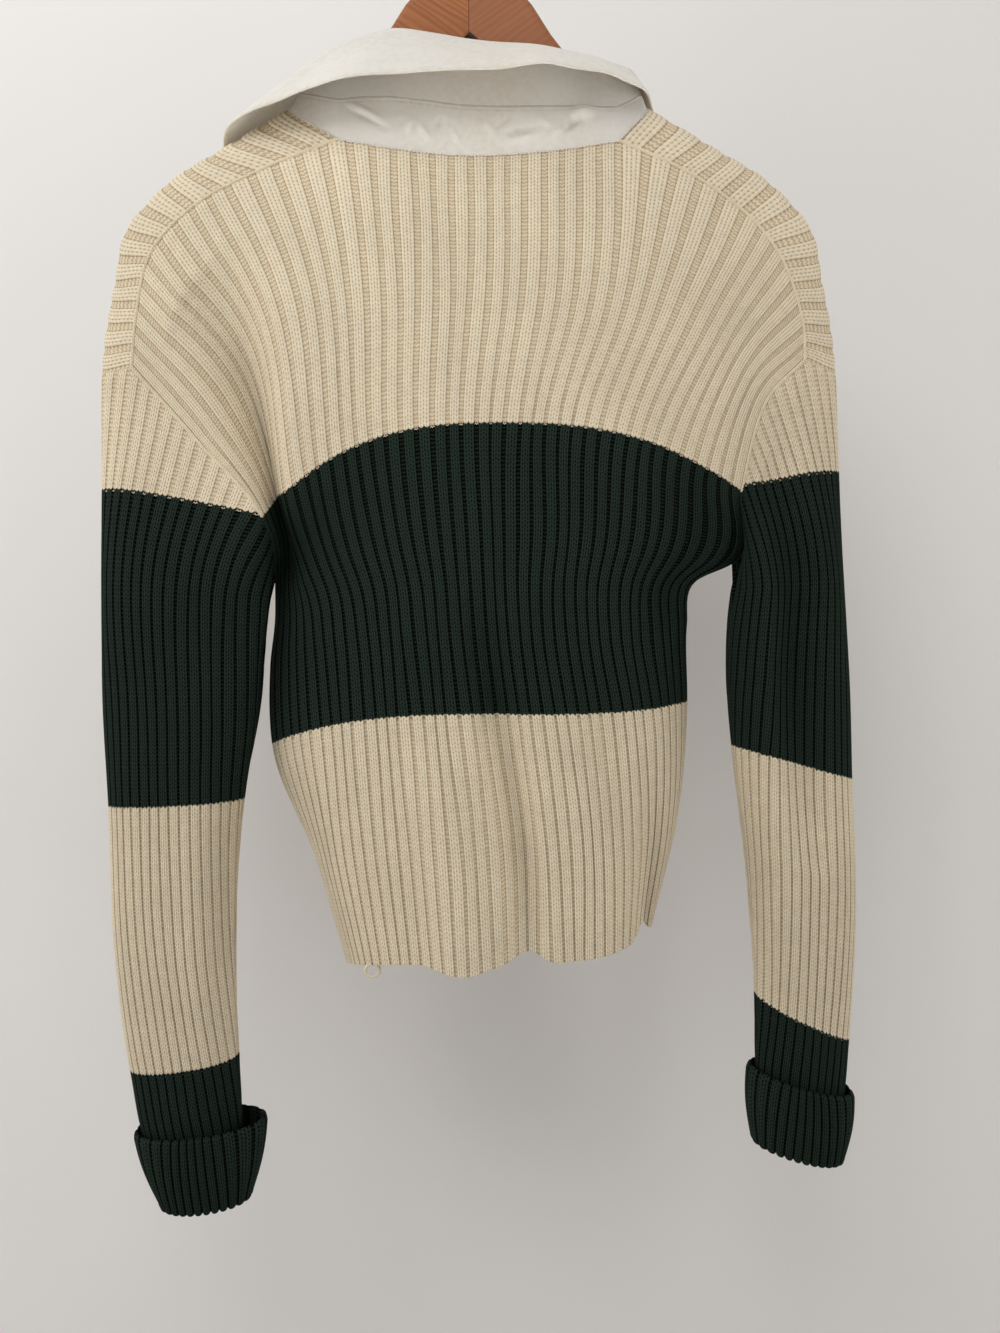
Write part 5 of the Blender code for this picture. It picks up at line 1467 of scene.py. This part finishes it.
band_pieces, band_grids = [], []
for band in BANDS:
    band_grids.append(band_grid(band))
    band_pieces.append(woven_piece(f"{band.name}_band", band.name, band_grids[-1], white_bands))

# %% Tubes of yarn and thread
def ring_faces(rings, sides):
    """Faces of a closed tube: the quads between its rings, then its two ends."""
    faces = [(k * sides + s, k * sides + (s + 1) % sides,
              (k + 1) * sides + (s + 1) % sides, (k + 1) * sides + s)
             for k in range(rings - 1) for s in range(sides)]
    return faces + [tuple(reversed(range(sides))),
                    tuple(range((rings - 1) * sides, rings * sides))]


def tube(line, out, radius, sides=6):
    """Points and faces of a closed round tube along a line."""
    ahead = unit(np.gradient(line, axis=0))
    side = unit(np.cross(ahead, out))
    up = np.cross(side, ahead)
    turns = np.linspace(0, 2 * pi, sides, endpoint=False)[None, :, None]
    ring = np.cos(turns) * (side * radius)[:, None] + np.sin(turns) * (up * radius)[:, None]
    return (line[:, None] + ring).reshape(-1, 3), ring_faces(len(line), sides)


def joined(parts):
    """Several sets of points and faces as one."""
    points, faces, offset = [], [], 0
    for some_points, some_faces in parts:
        points.append(some_points)
        faces += [tuple(index + offset for index in face) for face in some_faces]
        offset += len(some_points)
    return np.concatenate(points), faces


white_thread, _ = new_material("white cotton thread", 0.7, 0.3, (0.82, 0.79, 0.73))
print("material:", white_thread.name)

# %% Buttons
BUTTON_RADIUS, BUTTON_THICK, BUTTON_SIDES, SEAM_LIFT = 5.6, 2.8, 48, 0.3
BUTTON_PLACES, BUTTON_ACROSS = (0.12, 0.33, 0.54), 0.55
HOLE_RADIUS, HOLE_OFF, THREAD_RADIUS = 0.8, 1.35, 0.35
DRILL_HALF, DRILL_SIDES = 2.5, 16
BAR_POINTS, BAR_FOOT, BAR_RISE = 9, 0.1, 1.15       # a bar of thread, from hole to hole
BUTTON_PROFILE = [(-1.6, -1.4), (-0.8, -1.4), (-0.25, -1.0), (0.0, 0.0), (-0.2, 0.8), (-0.8, 1.4),
                  (-1.3, 1.35), (-1.8, 1.0), (-2.3, 0.8)]     # off the rim's radius, and height


def lathed(profile, sides):
    """A turned solid about +Y from (radius, height) pairs, in a mesh in metres."""
    turns = np.linspace(0, 2 * pi, sides, endpoint=False)
    points = [(radius * cos(t) * MM, height * MM, radius * sin(t) * MM)
              for radius, height in profile for t in turns]
    mesh = bpy.data.meshes.new("turned")
    mesh.from_pydata(points, [], ring_faces(len(profile), sides))
    face_outwards(mesh)
    return add_object("turned", mesh)


def drilled_button():
    """A button at the origin that faces +Y, with its four holes cut."""
    body = lathed([(BUTTON_RADIUS + off, height) for off, height in BUTTON_PROFILE], BUTTON_SIDES)
    drills = []
    for across in (-HOLE_OFF, HOLE_OFF):
        for up in (-HOLE_OFF, HOLE_OFF):
            drill = lathed([(HOLE_RADIUS, -DRILL_HALF), (HOLE_RADIUS, DRILL_HALF)], DRILL_SIDES)
            drill.location = (across * MM, 0, up * MM)
            cut = body.modifiers.new("hole", "BOOLEAN")
            cut.operation, cut.object, cut.solver = "DIFFERENCE", drill, "EXACT"
            drills.append(drill)
    bpy.context.view_layer.update()
    seen = body.evaluated_get(bpy.context.evaluated_depsgraph_get())
    cut_mesh = bpy.data.meshes.new_from_object(seen)
    points = np.array([vertex.co for vertex in cut_mesh.vertices]) / MM
    faces = [tuple(face.vertices) for face in cut_mesh.polygons]
    for temporary in (body, *drills):
        bpy.data.objects.remove(temporary)
    return points, faces


def turned_to(points, side, facing, up, middle):
    """Points in a button's own axes, set in their place on the garment."""
    return middle + points[:, :1] * side + points[:, 1:2] * facing + points[:, 2:] * up


horn, _ = new_material("off-white button", 0.32, 0.5, (0.78, 0.74, 0.66))
button_points, button_faces = drilled_button()
under = band_grids[1]
across_line = under[0] + (under[-1] - under[0]) * BUTTON_ACROSS
for number, place in enumerate(BUTTON_PLACES, start=1):
    row = round(place * (BAND_ROWS - 1))
    facing = unit(np.cross(across_line[row] - across_line[row + 1], under[0, row] - under[-1, row]))
    facing = facing * np.sign(facing[1])
    middle = across_line[row] + facing * (WOVEN_WALL / 2 + SEAM_LIFT + BUTTON_THICK / 2)
    side = unit(np.cross(facing, (0, 0, 1.0)))
    up = np.cross(side, facing)
    placed = turned_to(button_points, side, facing, up, middle)
    add_piece(f"plain_button_{number}", placed, button_faces, horn, "button",
              (f"button_{number}",), angle=35)
    arc = np.linspace(0, pi, BAR_POINTS)
    bars = []
    for off in (-HOLE_OFF, HOLE_OFF):
        bar = np.stack([np.full(BAR_POINTS, off), BAR_FOOT + BAR_RISE * np.sin(arc),
                        -HOLE_OFF * np.cos(arc)], axis=1)
        bars.append(tube(bar, np.tile([1.0, 0, 0], (BAR_POINTS, 1)), THREAD_RADIUS))
    points, faces = joined(bars)
    add_piece(
        f"button_thread_{number}", turned_to(points, side, facing, up, middle), faces,
        white_thread, "woven_white")

# %% [markdown]
# ## Seams, stitching and a loose end
#
# The knit pieces are linked with a chain of loops, which shows as a soft ridge where the
# ribs of two pieces meet. The collar is sewn to the knit with a stretch zigzag in white
# thread. Both are real strands, laid along the edges of the sheets. A short loop of yarn
# has pulled out at the hem.

# %% Linked seams of the knit
CHAIN_PITCH, CHAIN_SWING, STRAND_RADIUS, CHAIN_LIFT = 3.6, 0.62, 0.62, 0.15
CHAIN_RISE, CHAIN_POINTS = 0.3, 6       # how far the strands rise, and points in a pitch
STRAND_SIDES, SEAM_PHASE = 5, 0.42      # the yarn takes a rib's colour at this phase


def chain_seam(name, line, out, courses):
    """Two strands of yarn that cross over and over along a seam."""
    length = lengths_along(line)
    at = np.linspace(0, length[-1], max(8, int(length[-1] / CHAIN_PITCH * CHAIN_POINTS)))
    middle, normal = line_at(line, out, at)
    course = np.interp(at, length, courses)
    side = unit(np.cross(unit(np.gradient(middle, axis=0)), normal))
    swing = np.sin(2 * pi * at / CHAIN_PITCH)
    lift = np.cos(2 * pi * at / CHAIN_PITCH)
    strands = []
    for sign in (-1, 1):
        strand = (middle + sign * CHAIN_SWING * swing[:, None] * side
                  + (CHAIN_LIFT + CHAIN_RISE * sign * lift[:, None]) * normal)
        strands.append(tube(strand, normal, STRAND_RADIUS, STRAND_SIDES))
    points, faces = joined(strands)
    v = np.tile(np.repeat(course / COURSE_PITCH, STRAND_SIDES), 2)
    uv = np.stack([np.full(len(v), SEAM_PHASE), v], axis=1)
    return add_piece(name, points, faces, body_knit, "rib_knit", (), [("cloth", uv)])


low, high = (int(BASE_PER_RIB * rib) for rib in BACK_CORNERS)
for side_name, columns in (("left", slice(0, low + 1)), ("right", slice(high, None))):
    line = back_base[-1, columns]
    out = unit(back_out[-1, columns] + front_out[-1, columns])
    chain_seam(f"shoulder_seam_{side_name}", line, out,
                            np.full(len(line), float(TOP_COURSE)))
above = BACK_ROWS >= ARMPIT_COURSE
for side_name, column in (("left", 0), ("right", -1)):
    chain_seam(f"armhole_seam_{side_name}", back_base[above, column],
                            back_out[above, column], BACK_ROWS[above])

# %% Zigzag stitching round the neck
ZIGZAG_PITCH, ZIGZAG_HALF, ZIGZAG_LIFT, ZIGZAG_THREAD, ZIGZAG_END = 2.4, 0.85, 1.05, 0.27, 2.0


def zigzag_stitching():
    line = stand_grid[0]
    out = surface_normals(stand_grid)[0]
    length = lengths_along(line)
    at = np.arange(ZIGZAG_END, length[-1] - ZIGZAG_END, ZIGZAG_PITCH / 2)
    middle, normal = line_at(line, out, at)
    away = normal * np.sign(np.einsum("ij,ij->i", normal, middle - line.mean(axis=0)).mean())
    up = unit(np.cross(unit(np.gradient(middle, axis=0)), away))
    turn = np.where(np.arange(len(at)) % 2, 1.0, -1.0)[:, None]
    path = middle + ZIGZAG_LIFT * away + ZIGZAG_HALF * turn * up
    dense = np.linspace(0, len(path) - 1, 3 * len(path) - 2)
    path, away = (np.stack([np.interp(dense, range(len(at)), values[:, axis])
                            for axis in range(3)], axis=1) for values in (path, away))
    points, faces = tube(path, away, ZIGZAG_THREAD, STRAND_SIDES)
    return add_piece("neck_stitching", points, faces, white_thread, "woven_white")


neck_stitching = zigzag_stitching()

# %% A loop of yarn at the hem
LOOP_RIB, LOOP_RADIUS, YARN_RADIUS, LOOP_POINTS = 8.8, 3.9, 0.8, 28
cream_yarn, _ = new_material("cream yarn", 0.9, 0.05, (0.74, 0.64, 0.49))
root_place = back_base[0, round(LOOP_RIB * BASE_PER_RIB)]
turns = np.radians(np.linspace(100, 445, LOOP_POINTS))
loop = root_place + np.stack([
    LOOP_RADIUS * 1.15 * np.cos(turns), np.linspace(-0.9, 0.9, LOOP_POINTS),
    -LOOP_RADIUS + 0.6 + LOOP_RADIUS * np.sin(turns)], axis=1)
points, faces = tube(loop, np.tile([0, -1.0, 0], (LOOP_POINTS, 1)), YARN_RADIUS, 8)
yarn_loop = add_piece("yarn_loop", points, faces, cream_yarn, "rib_knit")

# %% [markdown]
# ## Wood and steel
#
# The hanger is two mitred halves of varnished beech, so the grain runs along each arm and
# meets at the middle. One group draws long grain lines and short pores from the object's
# own coordinates, turned to the arm. The hook is plain drawn wire.

# %% Wood of the hanger
def grain_group():
    tree, g, given, filled = new_group(
        "wood grain", [("Place", VECTOR, None)], [("Grain", FLOAT), ("Pores", FLOAT)])
    place = given["Place"]
    bend = g.noise(g.stretched(place, (14, 14, 60)), 1.0, 2.0)
    _, _, high = g.parts(place)
    rings = g.math("SINE", g.plus(g.times(high, 1500.0), g.times(bend, 22.0)))
    broad = g.noise(g.stretched(place, (10, 40, 160)), 1.0, 3.0)
    pores = g.noise(g.stretched(place, (140, 900, 2600)), 1.0, 2.0)
    g.give(filled, Grain=g.plus(g.times(rings, 0.16), g.times(broad, 0.9)),
           Pores=g.soft_step(pores, 0.60, 0.72))
    return tree


GRAIN = grain_group()
# painted shade: a dark wedge in the gap under the mitre, where the two halves part
NOTCH_TOP, NOTCH_X = -0.1157, 0.0007    # apex of the dark gap under the mitre, metres
NOTCH_SLOPE, NOTCH_SOFT, NOTCH_SHADE = 0.85, 0.0002, (0.035, 0.015, 0.008)
PORE_DARK = (0.5, 0.45, 0.4)            # a pore's colour, as a share of the dark grain's


def wood_material(name, turn, light, dark, figure):
    """Varnished wood whose grain is turned about Y by so many degrees."""
    material, shader = new_material(name, 0.5, 0.2)
    g = Graph(material.node_tree)
    room = g.room_place()
    grain = g.group(GRAIN, Place=g.stretched(room, (1, 1, 1), (0, radians(turn), 0)))
    colour = g.mix(g.soft_step(grain["Grain"], 0.5 - figure, 0.5 + figure), dark, light)
    pore = tuple(c * share for c, share in zip(dark, PORE_DARK))
    colour = g.mix(g.times(grain["Pores"], 0.35), colour, pore)
    # painted shade in the gap under the mitre
    x, _, z = g.parts(room)
    gap = g.plus(z, g.times(g.gap(x, NOTCH_X), NOTCH_SLOPE))
    notch_shade = g.soft_step(gap, NOTCH_TOP + NOTCH_SOFT, NOTCH_TOP - NOTCH_SOFT)
    g.feed(shader.inputs["Base Color"], g.mix(notch_shade, colour, NOTCH_SHADE))
    g.bump(shader, grain["Grain"], 0.0002, 0.4)
    return material


def finish_node(node, material):
    """Gives a solid of the frame its finish, and keeps its form."""
    solid = bpy.data.objects[node]
    if not solid.material_slots:
        solid.data.materials.append(material)
    for slot in solid.material_slots:
        slot.material = material


finish_node("hanger_left", wood_material(
    "wood with open grain", -35, (0.385, 0.142, 0.048), (0.265, 0.086, 0.028), 0.32))
finish_node("hanger_right", wood_material(
    "smooth reddish wood", 35, (0.345, 0.138, 0.060), (0.285, 0.102, 0.044), 0.42))
wire, _ = new_material("drawn steel wire", 0.3, 0.5, (0.58, 0.58, 0.57), 1.0)
finish_node("hook", wire)
print("finishes on hanger and hook set")

# %% [markdown]
# ## The cloth's cut
#
# The knit stretches most across the shoulders.

# %% The last line
print("all pieces built")
